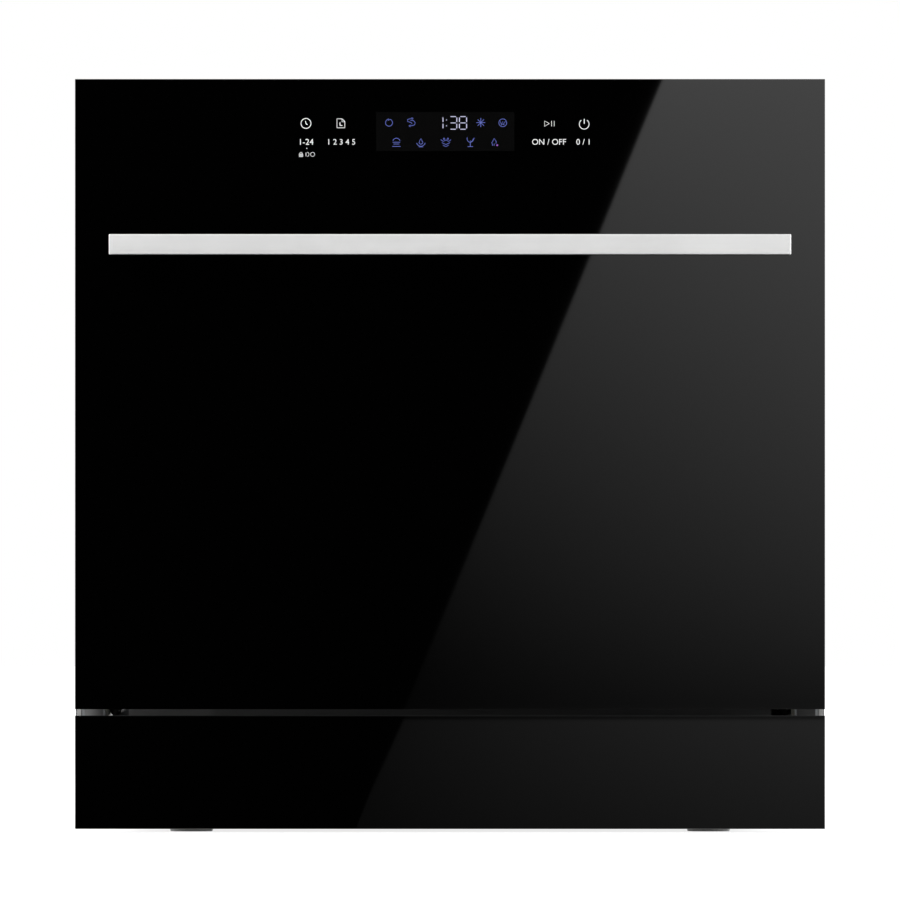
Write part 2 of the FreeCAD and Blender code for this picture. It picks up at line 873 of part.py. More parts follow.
def tub_block(grow, y0, y1):
    """The room in the tub from y0 to y1, grown outwards by the wall: ledges below, round corners above."""
    half, top = tub_half + grow, tub_top + grow
    r = tub_corner + grow
    low, high = floor_z - grow, track_z - grow
    lead = grow * math.tan(math.atan2(ledge_height, ledge_slope) / 2)
    outline = [(-half, high), (-floor_half - ledge_slope - lead, high), (-floor_half - lead, low),
               (floor_half + lead, low), (floor_half + ledge_slope + lead, high), (half, high)]
    shoulders = corner(half - r, top - r, r, 0, corner_flats) + corner(r - half, top - r, r, 1, corner_flats)
    return prism("y", y0, y1, outline + shoulders)


def basin_block(grow, top):
    """The basin as a tapered block with cut corners, wider by its slope at the top than at the bottom."""
    rise = basin_slope * (top - basin_z) / basin_depth
    return Part.makeLoft([basin_outline(basin_z - grow, grow), basin_outline(top, rise + grow)], True, True)


def basin_outline(z, spread):
    corners = cut_corners(spread)
    return Part.makePolygon([Vector(x, y, z) for x, y in corners + corners[:1]])


def cut_corners(spread):
    """The basin's outline, wider by spread all round, with its corners cut off."""
    x0, x1 = -basin_left - spread, basin_right + spread
    y0, y1 = middle_y - basin_front - spread, middle_y + basin_back + spread
    c = basin_corner
    return [(x0 + c, y0), (x1 - c, y0), (x1, y0 + c), (x1, y1 - c), (x1 - c, y1), (x0 + c, y1),
            (x0, y1 - c), (x0, y0 + c)]


def tub():
    """Stainless sheets welded at their edges: a floor pressing with the wheel ledges and the basin, two
    sides, the top with its round corners, the back, and a front frame that the seal sits on."""
    shell = tub_block(tub_wall, body_y, tub_back_y).cut(tub_block(0, body_y - overrun, tub_back_y + overrun))
    basin = basin_block(tub_wall, floor_z).cut(box(-tub_half, tub_half, body_y, tub_back_y, floor_z, track_z))
    holes = [bar("z", basin_z - overrun, track_z, sump_x, sump_y, sump_hole_radius),
             bar_hole("z", basin_z - overrun, track_z, 0, middle_y, post_radius),
             bar_hole("z", basin_z - overrun, track_z, salt_x, salt_y, salt_hole_radius)]
    floor = fused(below(shell, track_z), basin).cut([basin_block(0, floor_z + tub_wall), *holes])
    walls = above(shell, track_z)
    shoulder = tub_top - tub_corner
    back = tub_block(tub_wall, tub_back_y, tub_back_y + tub_wall)
    frame = box(-casing_half, casing_half, body_y, body_y + tub_wall, lip_z, body_top - sheet)
    slot = box(tub_half + seal_width + seal_offset, casing_half + overrun, body_y - overrun,
               body_y + overrun, lip_z - overrun, flange_tail_slot)
    frame = frame.cut([tub_block(tub_wall, body_y - overrun, body_y + overrun), *both_sides(slot)])
    jambs = above(below(frame, shoulder), track_z)
    return [floor, below(walls, shoulder), above(walls, shoulder), back, below(frame, track_z), jambs,
            above(frame, shoulder)]


def below(shape, z):
    return shape.common(box(-front_width, front_width, -body_depth, body_depth, -front_height, z))


def above(shape, z):
    return shape.common(box(-front_width, front_width, -body_depth, body_depth, z, front_height * 2))


def tub_seal():
    """A rubber bulb on the flange, up both sides and over the top of the opening."""
    inner, outer = seal_offset, seal_offset + seal_width
    low = hinge_z - lower_seal_drop + lower_seal_height + run_gap
    grown = plate("y", body_y - seal_height, body_y, -tub_half - outer, tub_half + outer,
                  low - tub_corner * 2, tub_top + outer, tub_corner + outer)
    hole = plate("y", body_y - overrun, body_y + overrun, -tub_half - inner, tub_half + inner,
                 low - tub_corner * 3, tub_top + inner, tub_corner + inner)
    return above(grown.cut(hole), low)


# Casing

mount_x = body_half + mount_flange / 2
mount_zs = (casing_bottom + mount_hole_rise, body_top - mount_hole_drop)
screw_z = body_top - casing_fold / 2
screw_ys = (body_y + casing_fold * 4, rear_y - casing_fold * 4)


def side_panel():
    """The right-hand panel: folded out at the front to screw to the furniture, and in at the bottom."""
    top = body_top - sheet
    wall = box(casing_half, body_half, body_y, rear_y, casing_bottom, top)
    front = box(casing_half, body_half + mount_flange, body_y, body_y + sheet, casing_bottom, top)
    bottom = box(body_half - casing_return, body_half, body_y + sheet * 2, rear_y, casing_bottom, tray_z)
    holes = [rod("y", body_y - overrun, body_y + overrun, mount_x, z, mount_hole_radius) for z in mount_zs]
    return fused(wall, front, bottom).cut(holes + screw_holes())


def screw_holes():
    r = screw_shank_radius + screw_play
    return [hexagon("x", casing_half - overrun, body_half + overrun, y, screw_z, r) for y in screw_ys]


def top_panel():
    outer = box(-body_half, body_half, body_y, rear_y, body_top - sheet, body_top)
    fold = box(casing_half - sheet, casing_half, body_y + casing_fold, rear_y - casing_fold,
               body_top - casing_fold, body_top - sheet)
    return fused(outer, *both_sides(fold.cut(screw_holes())))


def rear_panel():
    """Steel, with three pressed ribs, and an opening over the water connections."""
    z0, z1 = tray_z, body_top - sheet
    pressed = [box(-casing_half, casing_half, rear_y - sheet, rear_y, z0, z1)]
    hollows = []
    half, high = rear_rib_width / 2, rear_rib_height / 2
    for i in range(rear_rib_count):
        z = rear_rib_rise + i * rear_rib_pitch
        pressed.append(rib_block(half, high, z, rear_y - rear_rib_depth, rear_y))
        hollows.append(rib_block(half - sheet, high - sheet, z, rear_y - rear_rib_depth + sheet,
                                 rear_y + overrun))
    opening = box(service_inset - body_half, service_inset - body_half + service_width, rear_y - overrun,
                  rear_y + overrun, z0 + service_rise, z0 + service_rise + service_height)
    cable = bar_hole("y", rear_y - overrun, rear_y + overrun, cable_x, cable_z, cable_hole_radius)
    return fused(*pressed).cut([*hollows, opening, cable])


def rib_block(half, high, z, y0, y1):
    return prism("y", y0, y1, [(-half, z), (-half + high, z - high), (half - high, z - high), (half, z),
                               (half - high, z + high), (-half + high, z + high)])


def kick_bracket():
    """A steel channel behind the kick glass. Its top is a shelf under the sweep of the door's lower edge."""
    half = front_half - kick_side_inset
    shelf = hinge_z - sweep_radius - kick_shelf_gap
    outer = box(-half, half, glass_back_y, body_y, kick_bottom + kick_edge_inset, shelf)
    inner = box(-half + sheet, half - sheet, glass_back_y + sheet, body_y + overrun,
                kick_bottom + kick_edge_inset + sheet, shelf - sheet)
    return outer.cut(inner)


# Base tray and feet

foot_x = tray_half - foot_inset_x
foot_ys = {"front": body_y + foot_inset_y, "rear": rear_y - foot_inset_y}
foot_bore = foot_stud_radius + foot_stud_play


def base_tray():
    """The moulded base: drip tray, pillars that carry the tub, and a boss for each foot."""
    back_y = rear_y - sheet
    outer = box(-tray_half, tray_half, body_y + tub_wall, back_y, tray_z, tray_top + tray_side_height)
    inner = box(-tray_half + tray_wall, tray_half - tray_wall, body_y + tub_wall + tray_wall,
                back_y - tray_wall, tray_top, tray_top + tray_side_height + overrun)
    front = box(-tray_half, tray_half, body_y + tub_wall, body_y + tub_wall + tray_wall,
                tray_z, tray_front_top)
    pillars = []
    for y in (body_y + tray_pillar_inset, tub_back_y - tray_pillar_inset - tray_pillar_length):
        pillars.append(box(tray_half - tray_wall, tray_half, y, y + tray_pillar_length, tray_top,
                           track_z - tub_wall))
    bosses, bores = [], []
    for y in foot_ys.values():
        bosses.append(hexagon("z", tray_z, tray_top + foot_boss_height, foot_x, y, foot_boss_radius))
        bores.append(bar_hole("z", tray_z - overrun, tray_top + foot_boss_height + overrun, foot_x, y,
                              foot_bore))
    return fused(outer.cut(inner), front, *both_sides(*pillars, *bosses)).cut(both_sides(*bores))


def foot(x, y):
    pad = turned("z", 0, x, y, [(0, 0), (foot_pad_radius, 0), (foot_pad_radius, foot_pad_height / 2),
                                (foot_hex_radius, foot_pad_height), (0, foot_pad_height)])
    nut = hexagon("z", foot_pad_height, foot_pad_height + foot_hex_height, x, y, foot_hex_radius)
    stud = bar("z", foot_pad_height + foot_hex_height, foot_pad_height + foot_hex_height + foot_stud_length,
               x, y, foot_stud_radius)
    return fused(pad, nut, stud)


# Hinge brackets and balance springs

anchor_y = hinge_y + bracket_length - anchor_radius * 2
tail_hook_y = hinge_y + arm_tail_back
tail_hook_z = hinge_z - arm_tail_drop


def hinge_brackets():
    """A plate inside each side panel: it carries the hinge pin in front and the spring's anchor behind."""
    x0, x1 = casing_half - hinge_plate, casing_half
    nose_y = body_y + bracket_foot
    low, tail_low = hinge_z - hinge_knuckle, tail_hook_z - hinge_knuckle
    rear = hinge_y + bracket_length
    blank = prism("x", x0, x1, [
        (hinge_y - hinge_knuckle, hinge_z), (hinge_y - hinge_knuckle / 2, low), (nose_y, low),
        (nose_y, tail_low), (rear, tail_low), (rear, tail_hook_z + hinge_knuckle),
        (nose_y + bracket_foot * 2, hinge_z + hinge_knuckle),
        (hinge_y - hinge_knuckle / 2, hinge_z + hinge_knuckle)])
    pin = rod("x", arm_x - arm_plate / 2 - run_gap, x1, hinge_y, hinge_z, pin_radius)
    anchor = bar("x", arm_x - spring_radius, x1, anchor_y, tail_hook_z, anchor_radius)
    return both_sides(fused(blank, pin, anchor))


def balance_springs():
    """Close-wound springs with a hook at each end, from the arm's tail to the anchor."""
    y0, y1 = tail_hook_y + spring_end_gap, anchor_y - spring_end_gap
    coil = bar("y", y0, y1, arm_x, tail_hook_z, spring_radius)
    r = spring_hook_radius
    hooks = [hexagon("y", tail_hook_y + arm_tail_radius + run_gap, y0, arm_x, tail_hook_z, r),
             hexagon("y", y1, anchor_y - anchor_radius, arm_x, tail_hook_z, r)]
    return both_sides(fused(coil, *hooks))


# Sump, filters and spray arms

sump_top = basin_z - tub_wall
pump_z = tray_top + volute_radius + volute_lift
spray_z = floor_z + arm_lift


def sump():
    """A bowl that hangs from the basin by its flange, with a port for each pump."""
    r = sump_hole_radius + sump_wall
    bowl = turned("z", sump_top, sump_x, sump_y, [
        (0, -sump_depth), (r, -sump_depth), (r, -sump_wall), (r + sump_flange, -sump_wall),
        (r + sump_flange, 0), (sump_hole_radius, 0), (sump_hole_radius, sump_wall - sump_depth),
        (0, sump_wall - sump_depth)])
    port = bar("x", sump_x - r - sump_flange, sump_x - sump_hole_radius - sump_wall / 2, sump_y, pump_z,
               suction_radius)
    return fused(bowl, port)


def spray_arm_post():
    """The hollow post through the tub floor that feeds and carries the lower arm."""
    low = sump_top - sump_flange
    foot = bar("z", low, spray_z - run_gap, 0, middle_y, post_radius)
    collar = bar("z", low, sump_top, 0, middle_y, post_radius + sump_flange)
    return fused(foot, collar, rod("z", spray_z - run_gap, spray_z + post_spigot_height, 0, middle_y,
                                   post_spigot_radius))


def wing_outline(x, y, z, reach, sign, inset):
    """One wing of a spray arm in outline, bent back a little, and drawn in by inset."""
    back, tip = -arm_bend / 2, arm_tip_width / 2 - inset
    far = reach - inset
    points = [(0, inset - arm_width / 2), (far - tip, back - tip), (far, back - tip / 2),
              (far, back + tip / 2), (far - tip, back + tip), (0, arm_width / 2 - inset)]
    return [Vector(x + sign * u, y + sign * v, z) for u, v in points]


def spray_arm(x, y, z, reach, spigot):
    """A hollow arm in outline: two tapered wings with crowned backs about a bored hub, with jets."""
    wings = []
    for sign in (-1, 1):
        rings = [wing_outline(x, y, z, reach, sign, 0), wing_outline(x, y, z + arm_edge, reach, sign, 0),
                 wing_outline(x, y, z + arm_thickness, reach, sign, arm_crown)]
        wings.append(stacked(rings))
    hub = bar("z", z, z + arm_hub_height, x, y, arm_hub_radius)
    bore = rod("z", z - overrun, z + arm_hub_height + overrun, x, y, spigot + arm_play)
    jets = []
    for sign in (-1, 1):
        for i in range(jet_count):
            u = jet_first + i * jet_pitch
            v = -arm_bend / 2 * u / reach
            jets.append(box(x + sign * u - jet_half_width, x + sign * u + jet_half_width,
                            y + sign * v - jet_half_length, y + sign * v + jet_half_length,
                            z + arm_thickness / 2, z + arm_thickness + overrun))
    return fused(*wings, hub).cut([bore, *jets])


def filter_plate():
    """The flat stainless filter that lies in the basin, with holes for the cup and the spray arm post."""
    flat = prism("z", basin_z, basin_z + filter_plate_thickness, cut_corners(-filter_plate_border))
    cup = bar_hole("z", basin_z - overrun, basin_z + overrun, sump_x, sump_y,
                   filter_radius - filter_collar + run_gap)
    post = bar_hole("z", basin_z - overrun, basin_z + overrun, 0, middle_y, post_radius + run_gap)
    return flat.cut([cup, post])


def filter_cup():
    """A round filter in the sump mouth. It is turned by its handle to free it, then lifted out."""
    seat = basin_z + filter_plate_thickness + run_gap
    top = seat + filter_collar
    r = filter_radius - filter_collar
    shell = turned("z", seat, sump_x, sump_y, [
        (0, -filter_depth), (r, -filter_depth), (r, 0), (filter_radius, 0), (filter_radius, filter_collar),
        (r - filter_wall, filter_collar), (r - filter_wall, filter_wall - filter_depth),
        (0, filter_wall - filter_depth)])
    bar_half, bar_thick = filter_handle_width / 2, filter_handle_bar
    handle = box(sump_x - r, sump_x + r, sump_y - bar_half, sump_y + bar_half, seat,
                 top + filter_handle_height)
    grip = box(sump_x - r + bar_thick, sump_x + r - bar_thick, sump_y - bar_half - overrun,
               sump_y + bar_half + overrun, seat - overrun, top + filter_handle_height - bar_thick)
    return fused(shell, handle.cut(grip))


# Salt container

softener_top = basin_z - softener_neck_wall * 2


def water_softener():
    """The softener tank, and the filler neck that comes up through the tub floor."""
    half = softener_width / 2
    y0 = salt_y - softener_depth * 2 / 3
    tank = plate("z", softener_top - softener_height, softener_top, salt_x - half, salt_x + half,
                 y0, y0 + softener_depth, softener_corner)
    neck = bar("z", softener_top - softener_neck_wall, floor_z - tub_wall, salt_x, salt_y,
               salt_hole_radius + softener_neck_wall)
    well = bar_hole("z", softener_top - softener_height / 2, floor_z + overrun, salt_x, salt_y,
                    salt_stem_radius + run_gap)
    return fused(tank, neck).cut(well)


def salt_cap():
    head_z = floor_z + run_gap
    head = bar("z", head_z, head_z + salt_cap_height, salt_x, salt_y, salt_cap_radius)
    stem = bar("z", floor_z - salt_stem_length, head_z, salt_x, salt_y, salt_stem_radius)
    half, thick = salt_cap_radius * salt_grip_share, salt_grip_width / 2
    grip = box(salt_x - half, salt_x + half, salt_y - thick, salt_y + thick, head_z + salt_cap_height,
               head_z + salt_cap_height + salt_grip_height)
    return fused(head, stem, grip)


# Pumps and water ways

bowl_radius = sump_hole_radius + sump_wall


def wash_pump():
    """The circulation pump left of the sump, with its heater in the volute, and its pipe to the post."""
    x1 = sump_x - bowl_radius - sump_flange - run_gap
    x0 = x1 - volute_length
    volute = bar("x", x0, x1, sump_y, pump_z, volute_radius)
    motor = bar("x", x0 - motor_length, x0, sump_y, pump_z, motor_radius)
    half = motor_radius * saddle_share
    saddle = box(x0 - motor_length / 2 - saddle_width, x0 - motor_length / 2 + saddle_width, sump_y - half,
                 sump_y + half, tray_top, pump_z - motor_radius * saddle_share)
    pipe = box(-port_width / 2, port_width / 2, sump_y + suction_radius + run_gap, middle_y + port_width / 2,
               pump_z - port_width / 2, pump_z + port_width / 2)
    riser = box(-port_width / 2, port_width / 2, middle_y - port_width / 2, middle_y + port_width / 2,
                pump_z, sump_top - sump_flange)
    return fused(volute, motor, saddle, pipe, riser)


def drain_pump():
    """The small pump in front of the sump that empties it: a round head and a square motor."""
    y1 = sump_y - bowl_radius - run_gap
    y0 = y1 - drain_head_length
    half = drain_motor_width / 2
    head = bar("y", y0, y1, sump_x, water_z, drain_head_radius)
    motor = box(sump_x - half, sump_x + half, y0 - drain_motor_length, y0, water_z - half, water_z + half)
    foot_block = box(sump_x - saddle_width / 2, sump_x + saddle_width / 2, y0 - drain_motor_length, y0,
                     tray_top, water_z - half)
    outlet = bar("x", sump_x, sump_x + drain_head_radius + hose_radius, y1 - drain_head_length / 2, water_z,
                 hose_radius)
    return fused(head, motor, foot_block, outlet)


valve_face_y = rear_y - inlet_length - sheet - run_gap


def inlet_valve():
    """The solenoid valve with its threaded inlet, reached through the opening in the rear panel."""
    half, high = valve_width / 2, valve_height / 2
    body = box(valve_x - half, valve_x + half, valve_face_y - valve_length, valve_face_y,
               water_z - high, water_z + high)
    stand = box(valve_x - half / 2, valve_x + half / 2, valve_face_y - valve_length, valve_face_y,
                tray_top, water_z - high)
    coil = bar("z", water_z + high, water_z + high + coil_height, valve_x, valve_face_y - valve_length / 2,
               coil_radius)
    thread = rod("y", valve_face_y, valve_face_y + inlet_length, valve_x, water_z, inlet_radius)
    bore = bar("y", valve_face_y + inlet_wall, valve_face_y + inlet_length + overrun, valve_x, water_z,
               inlet_bore)
    return fused(body, stand, coil, thread).cut(bore)


def drain_hose():
    """The drain pump's hose, run along the tray to a spigot behind the opening in the rear panel."""
    y_pump = sump_y - bowl_radius - run_gap - drain_head_length / 2
    x_pump = sump_x + drain_head_radius + hose_radius
    x_side = sump_x + bowl_radius + hose_side_gap + hose_radius
    y_back = rear_y - sheet - spigot_length - hose_radius * 2
    y_out = rear_y - spigot_length
    path = [Vector(x_pump, y_pump, water_z), Vector(x_side, y_pump, water_z), Vector(x_side, y_back, water_z),
            Vector(drain_x, y_back, water_z), Vector(drain_x, y_out, water_z)]
    hose = wire(path, flat_of(hose_radius), Vector(0, 0, 1), 6)
    collar = bar("y", y_out, y_out + hose_collar_length, drain_x, water_z, hose_collar_radius)
    spigot = rod("y", y_out + hose_collar_length, rear_y, drain_x, water_z, spigot_radius)
    bore = bar("y", y_out + hose_collar_length, rear_y + overrun, drain_x, water_z, spigot_bore)
    stand = box(drain_x - hose_collar_radius / 2, drain_x + hose_collar_radius / 2, y_out,
                y_out + hose_collar_length, tray_top, water_z)
    return fused(hose, collar, stand, spigot).cut(bore)


def air_break():
    """The flat water-break chamber between the tub's left wall and the side panel."""
    x1 = -tub_half - tub_wall
    y0 = body_y + air_break_back
    z1 = tub_top - air_break_drop
    return plate("x", x1 - air_break_thickness, x1, y0, y0 + air_break_depth, z1 - air_break_height, z1,
                 air_break_corner)


feed_top = upper_floor_z - flat_of(wire_radius) * 3
feed_z = feed_top - feed_height
duct_front_y = tub_back_y - duct_depth


def feed_duct():
    """The flat duct from the post, across the floor and up the back wall, with a mouth at the rack."""
    half = duct_width / 2
    y_post = middle_y + post_radius + run_gap
    floor_run = prism("x", -half / 2, half / 2, [
        (y_post, floor_z), (tub_back_y, floor_z), (tub_back_y, floor_z + duct_floor_height * 2),
        (duct_front_y, floor_z + duct_floor_height * 2),
        (duct_front_y - duct_depth, floor_z + duct_floor_height), (y_post, floor_z + duct_floor_height)])
    riser = box(-half, half, duct_front_y, tub_back_y, floor_z + duct_floor_height,
                feed_z + feed_height + duct_depth)
    mouth_z = feed_z + feed_height / 2
    mouth = box(-duct_mouth_width / 2, duct_mouth_width / 2, duct_front_y - duct_mouth_reach, duct_front_y,
                mouth_z - duct_mouth_height / 2, mouth_z + duct_mouth_height / 2)
    return fused(floor_run, riser, mouth)


# Racks

rack_front_y = liner_y + rack_front_gap
rack_rear_y = tub_back_y - rack_rear_gap
lower_floor_z = track_z + lower_floor_rise
wire_flat = flat_of(wire_radius)
rim_flat = flat_of(rim_radius)


def rack_wires(floor, half, height, long_count, cross_count, rims):
    """U-shaped wires both ways, and closed rims round the outside."""
    made = []
    cross_floor = floor - wire_flat * 2
    y_wires = spaced(-half + rack_bend * 2, half - rack_bend * 2, long_count)
    for x in y_wires:
        corners = [Vector(x, rack_front_y, floor + height), Vector(x, rack_front_y, floor),
                   Vector(x, rack_rear_y, floor), Vector(x, rack_rear_y, floor + height)]
        made.append(wire(bent(corners, rack_bend), wire_flat, Vector(1, 0, 0), 4))
    for y in cross_places(cross_count):
        corners = [Vector(-half, y, floor + height), Vector(-half, y, cross_floor),
                   Vector(half, y, cross_floor), Vector(half, y, floor + height)]
        made.append(wire(bent(corners, rack_bend), wire_flat, Vector(0, 1, 0), 4))
    for z in rims:
        out = wire_flat + rim_flat
        x, y0, y1 = half + out, rack_front_y - out, rack_rear_y + out
        corners = [Vector(-x, y0, z), Vector(x, y0, z), Vector(x, y1, z), Vector(-x, y1, z)]
        made.append(wire(bent(corners, rack_bend, True), rim_flat, Vector(0, 0, 1), 6, True))
    return made


def cross_places(count):
    return spaced(rack_front_y + rack_bend * 2, rack_rear_y - rack_bend * 2, count)


lower_rims = (lower_floor_z + lower_height * lower_middle_rim_share,
              lower_floor_z + lower_height - rim_radius)
tine_z = lower_floor_z + wire_flat + tine_base_radius + tine_play
floor_wire_xs = spaced(rack_bend * 2 - lower_half_width, lower_half_width - rack_bend * 2,
                       lower_long_wire_count)
tine_xs = [floor_wire_xs[i] for i in tine_wire_indices]
tine_half_run = tine_pitch * (tine_count - 1) / 2
tine_middle_y = (rack_front_y + rack_rear_y) / 2
basket_x1 = lower_half_width - rack_bend
basket_x0 = basket_x1 - basket_width
basket_z = lower_floor_z + wire_flat


def tine_clips():
    """Clips on a floor wire, one at each end of a tine row, that its base wire turns in."""
    made = []
    for x in tine_xs:
        for side in (-1, 1):
            near = tine_middle_y + side * (tine_half_run + tine_pitch / 2)
            far = near + side * tine_clip_length
            block = box(x - tine_clip_half, x + tine_clip_half, min(near, far), max(near, far),
                        lower_floor_z + wire_flat, tine_z + tine_base_radius + tine_clip_top)
            r = tine_base_radius + tine_play
            made.append(block.cut(box(x - r, x + r, min(near, far) - overrun, max(near, far) + overrun,
                                      tine_z - r, tine_z + r)))
    return made


def tine_row(x):
    """Upright tines welded on a wire that turns in two clips, so that the row folds flat."""
    reach = tine_half_run + tine_pitch / 2 + tine_clip_length
    base = wire([Vector(x, tine_middle_y - reach, tine_z), Vector(x, tine_middle_y + reach, tine_z)],
                flat_of(tine_base_radius), Vector(1, 0, 0), 6)
    ys = spaced(tine_middle_y - tine_half_run, tine_middle_y + tine_half_run, tine_count)
    foot_z, top_z = tine_z + flat_of(tine_base_radius), tine_z + tine_height
    flat = flat_of(tine_radius)
    return [base] + [wire([Vector(x, y, foot_z), Vector(x, y, top_z)], flat, Vector(1, 0, 0), 4) for y in ys]


axle_z = track_z + run_gap + wheel_radius
carrier_x = lower_half_width + wire_flat
axle_x = carrier_x + carrier_thickness
wheel_x0 = axle_x + wheel_side_gap
wheel_x1 = wheel_x0 + wheel_width
wheel_ys = {"front": cross_places(lower_cross_wire_count)[front_wheel_index],
            "rear": cross_places(lower_cross_wire_count)[rear_wheel_index]}


def wheel_carriers():
    """A plastic carrier on a side wire, with the axle and its head, for each wheel."""
    made = []
    for y in wheel_ys.values():
        block = prism("x", carrier_x, axle_x, [
            (y - carrier_foot_half, axle_z - carrier_drop), (y + carrier_foot_half, axle_z - carrier_drop),
            (y + carrier_half, axle_z), (y + carrier_half, axle_z + carrier_rise),
            (y - carrier_half, axle_z + carrier_rise), (y - carrier_half, axle_z)])
        axle = rod("x", axle_x, wheel_x1 + wheel_side_gap, y, axle_z, axle_radius)
        head = hexagon("x", wheel_x1 + wheel_side_gap, wheel_x1 + wheel_side_gap + axle_head, y, axle_z,
                       axle_head_radius)
        made += both_sides(fused(block, axle, head))
    return made


def wheel(side, y):
    """A moulded wheel: tread, web and hub in one, recessed on its outer side and bored for its axle."""
    tread = bar("x", wheel_x0, wheel_x1, y, axle_z, wheel_radius)
    recess = bar("x", wheel_x1 - wheel_recess, wheel_x1 + overrun, y, axle_z, wheel_radius - wheel_rim)
    hub = hexagon("x", wheel_x0, wheel_x1, y, axle_z, wheel_hub_radius)
    made = fused(tread.cut(recess), hub)
    made = made.cut(rod("x", wheel_x0 - overrun, wheel_x1 + overrun, y, axle_z, axle_radius + axle_play))
    return made if side > 0 else mirrored(made)


def cutlery_basket():
    """A moulded cage with five cells, slotted sides and a bridge handle."""
    y0, y1 = tine_middle_y - basket_length / 2, tine_middle_y + basket_length / 2
    top = basket_z + basket_height
    outer = box(basket_x0, basket_x1, y0, y1, basket_z, top)
    pitch = (basket_length - basket_wall) / basket_cell_count
    cells, slots = [], []
    for i in range(basket_cell_count):
        cells.append(box(basket_x0 + basket_wall, basket_x1 - basket_wall, y0 + basket_wall + i * pitch,
                         y0 + (i + 1) * pitch, basket_z + basket_wall, top + overrun))
        for share in basket_slot_shares:
            y = y0 + (i + share) * pitch + basket_wall / 2
            slots.append(box(basket_x0 - overrun, basket_x1 + overrun, y - basket_slot_width / 2,
                             y + basket_slot_width / 2, basket_z + basket_slot_rise,
                             basket_z + basket_slot_rise + basket_slot_height))
    middle, half = (basket_x0 + basket_x1) / 2, basket_handle_length / 2
    thick = basket_handle_thickness
    bridge = box(middle - thick / 2, middle + thick / 2, tine_middle_y - half, tine_middle_y + half,
                 top - basket_handle_height, top + basket_handle_height)
    gap = box(middle - thick, middle + thick, tine_middle_y - half + thick, tine_middle_y + half - thick,
              top, top + basket_handle_height - thick)
    return fused(outer.cut(cells + slots), bridge.cut(gap))


# Upper rack, its rails and its spray arm

rail_z = upper_floor_z + rail_rise
rail_x1 = tub_half - rail_inset
rail_x0 = rail_x1 - rail_depth
rail_y0 = liner_y + rail_front_gap
rail_y1 = tub_back_y - rail_rear_gap


def upper_rails():
    """A steel channel on each side, open towards the rack."""
    half = rail_height / 2
    outer = box(rail_x0, rail_x1, rail_y0, rail_y1, rail_z - half, rail_z + half)
    inner = box(rail_x0 - overrun, rail_x1 - rail_wall, rail_y0 - overrun, rail_y1 + overrun,
                rail_z - half + rail_wall, rail_z + half - rail_wall)
    return both_sides(outer.cut(inner))


def rail_guides():
    """Plastic guides on the tub walls, two a side, that the rails run in."""
    half = rail_height / 2
    made = []
    for place in guide_places:
        y0 = body_y + place
        block = box(rail_x0, tub_half, y0, y0 + guide_length,
                    rail_z - half - guide_lip, rail_z + half + guide_lip)
        way = box(rail_x0 - overrun, rail_x1 + run_gap, y0 - overrun, y0 + guide_length + overrun,
                  rail_z - half - run_gap, rail_z + half + run_gap)
        made += both_sides(block.cut(way))
    return made


def upper_glides():
    """Plastic runners on the rack's side wires, two a side, that slide in the rails."""
    half = rail_height / 2 - rail_wall - run_gap
    made = []
    for index in glide_wire_indices:
        y = cross_places(upper_cross_wire_count)[index]
        outline = rounded(y - glide_length / 2, y + glide_length / 2, rail_z - half, rail_z + half,
                          glide_corner, 1)
        made += both_sides(prism("x", upper_half_width + wire_flat, rail_x1 - rail_wall - run_gap, outline))
    return made


shelf_z = upper_floor_z + upper_height - shelf_drop
shelf_x1 = upper_half_width - wire_flat - shelf_clip
shelf_ys = [cross_places(upper_cross_wire_count)[i] for i in shelf_wire_indices]


def shelf_clips():
    """Two clips on the rack's right-hand side wires that the cup shelf turns in."""
    made = []
    r = shelf_rod + tine_play
    for y in shelf_ys:
        y0, y1 = y - tine_clip_length / 2, y + tine_clip_length / 2
        block = box(shelf_x1 - shelf_clip, shelf_x1 + shelf_clip, y0, y1,
                    shelf_z - shelf_clip, shelf_z + shelf_clip)
        eye = box(shelf_x1 - r, shelf_x1 + r, y0 - overrun, y1 + overrun, shelf_z - r, shelf_z + r)
        made.append(block.cut(eye))
    return made


def cup_shelf():
    """A slotted shelf on a rod, which folds up against the side of the upper rack."""
    y0, y1 = shelf_ys[0] + tine_clip_length, shelf_ys[-1] - tine_clip_length
    bearing = wire([Vector(shelf_x1, shelf_ys[0] - tine_clip_length / 2, shelf_z),
                    Vector(shelf_x1, shelf_ys[-1] + tine_clip_length / 2, shelf_z)],
                   flat_of(shelf_rod), Vector(1, 0, 0), 6)
    leaf = box(shelf_x1 - shelf_width, shelf_x1, y0, y1,
               shelf_z - shelf_thickness / 2, shelf_z + shelf_thickness / 2)
    pitch = (y1 - y0 - shelf_border) / shelf_slot_count
    slots = [box(shelf_x1 - shelf_width + shelf_border, shelf_x1 - shelf_border,
                 y0 + shelf_border + i * pitch, y0 + (i + 1) * pitch, shelf_z - overrun, shelf_z + overrun)
             for i in range(shelf_slot_count)]
    return fused(leaf.cut(slots), bearing)


def upper_feed_tube():
    """The tube under the rack from its dock at the duct to the upper arm, with the arm's spigot and cap."""
    half = feed_width / 2
    y1 = duct_front_y - duct_mouth_reach - feed_dock_gap
    tube = box(-half, half, middle_y - half, y1, feed_z, feed_top)
    spigot = rod("z", feed_z - feed_spigot_length - run_gap, feed_z, 0, middle_y, feed_spigot_radius)
    cap = bar("z", feed_z - feed_spigot_length - run_gap - feed_cap, feed_z - feed_spigot_length - run_gap,
              0, middle_y, feed_cap_radius)
    return fused(tube, spigot, cap)


def casing_screws():
    """Screws that hold the side panels to the folds of the top panel."""
    return both_sides(*[screw("x", body_half, 1, y, screw_z) for y in screw_ys])


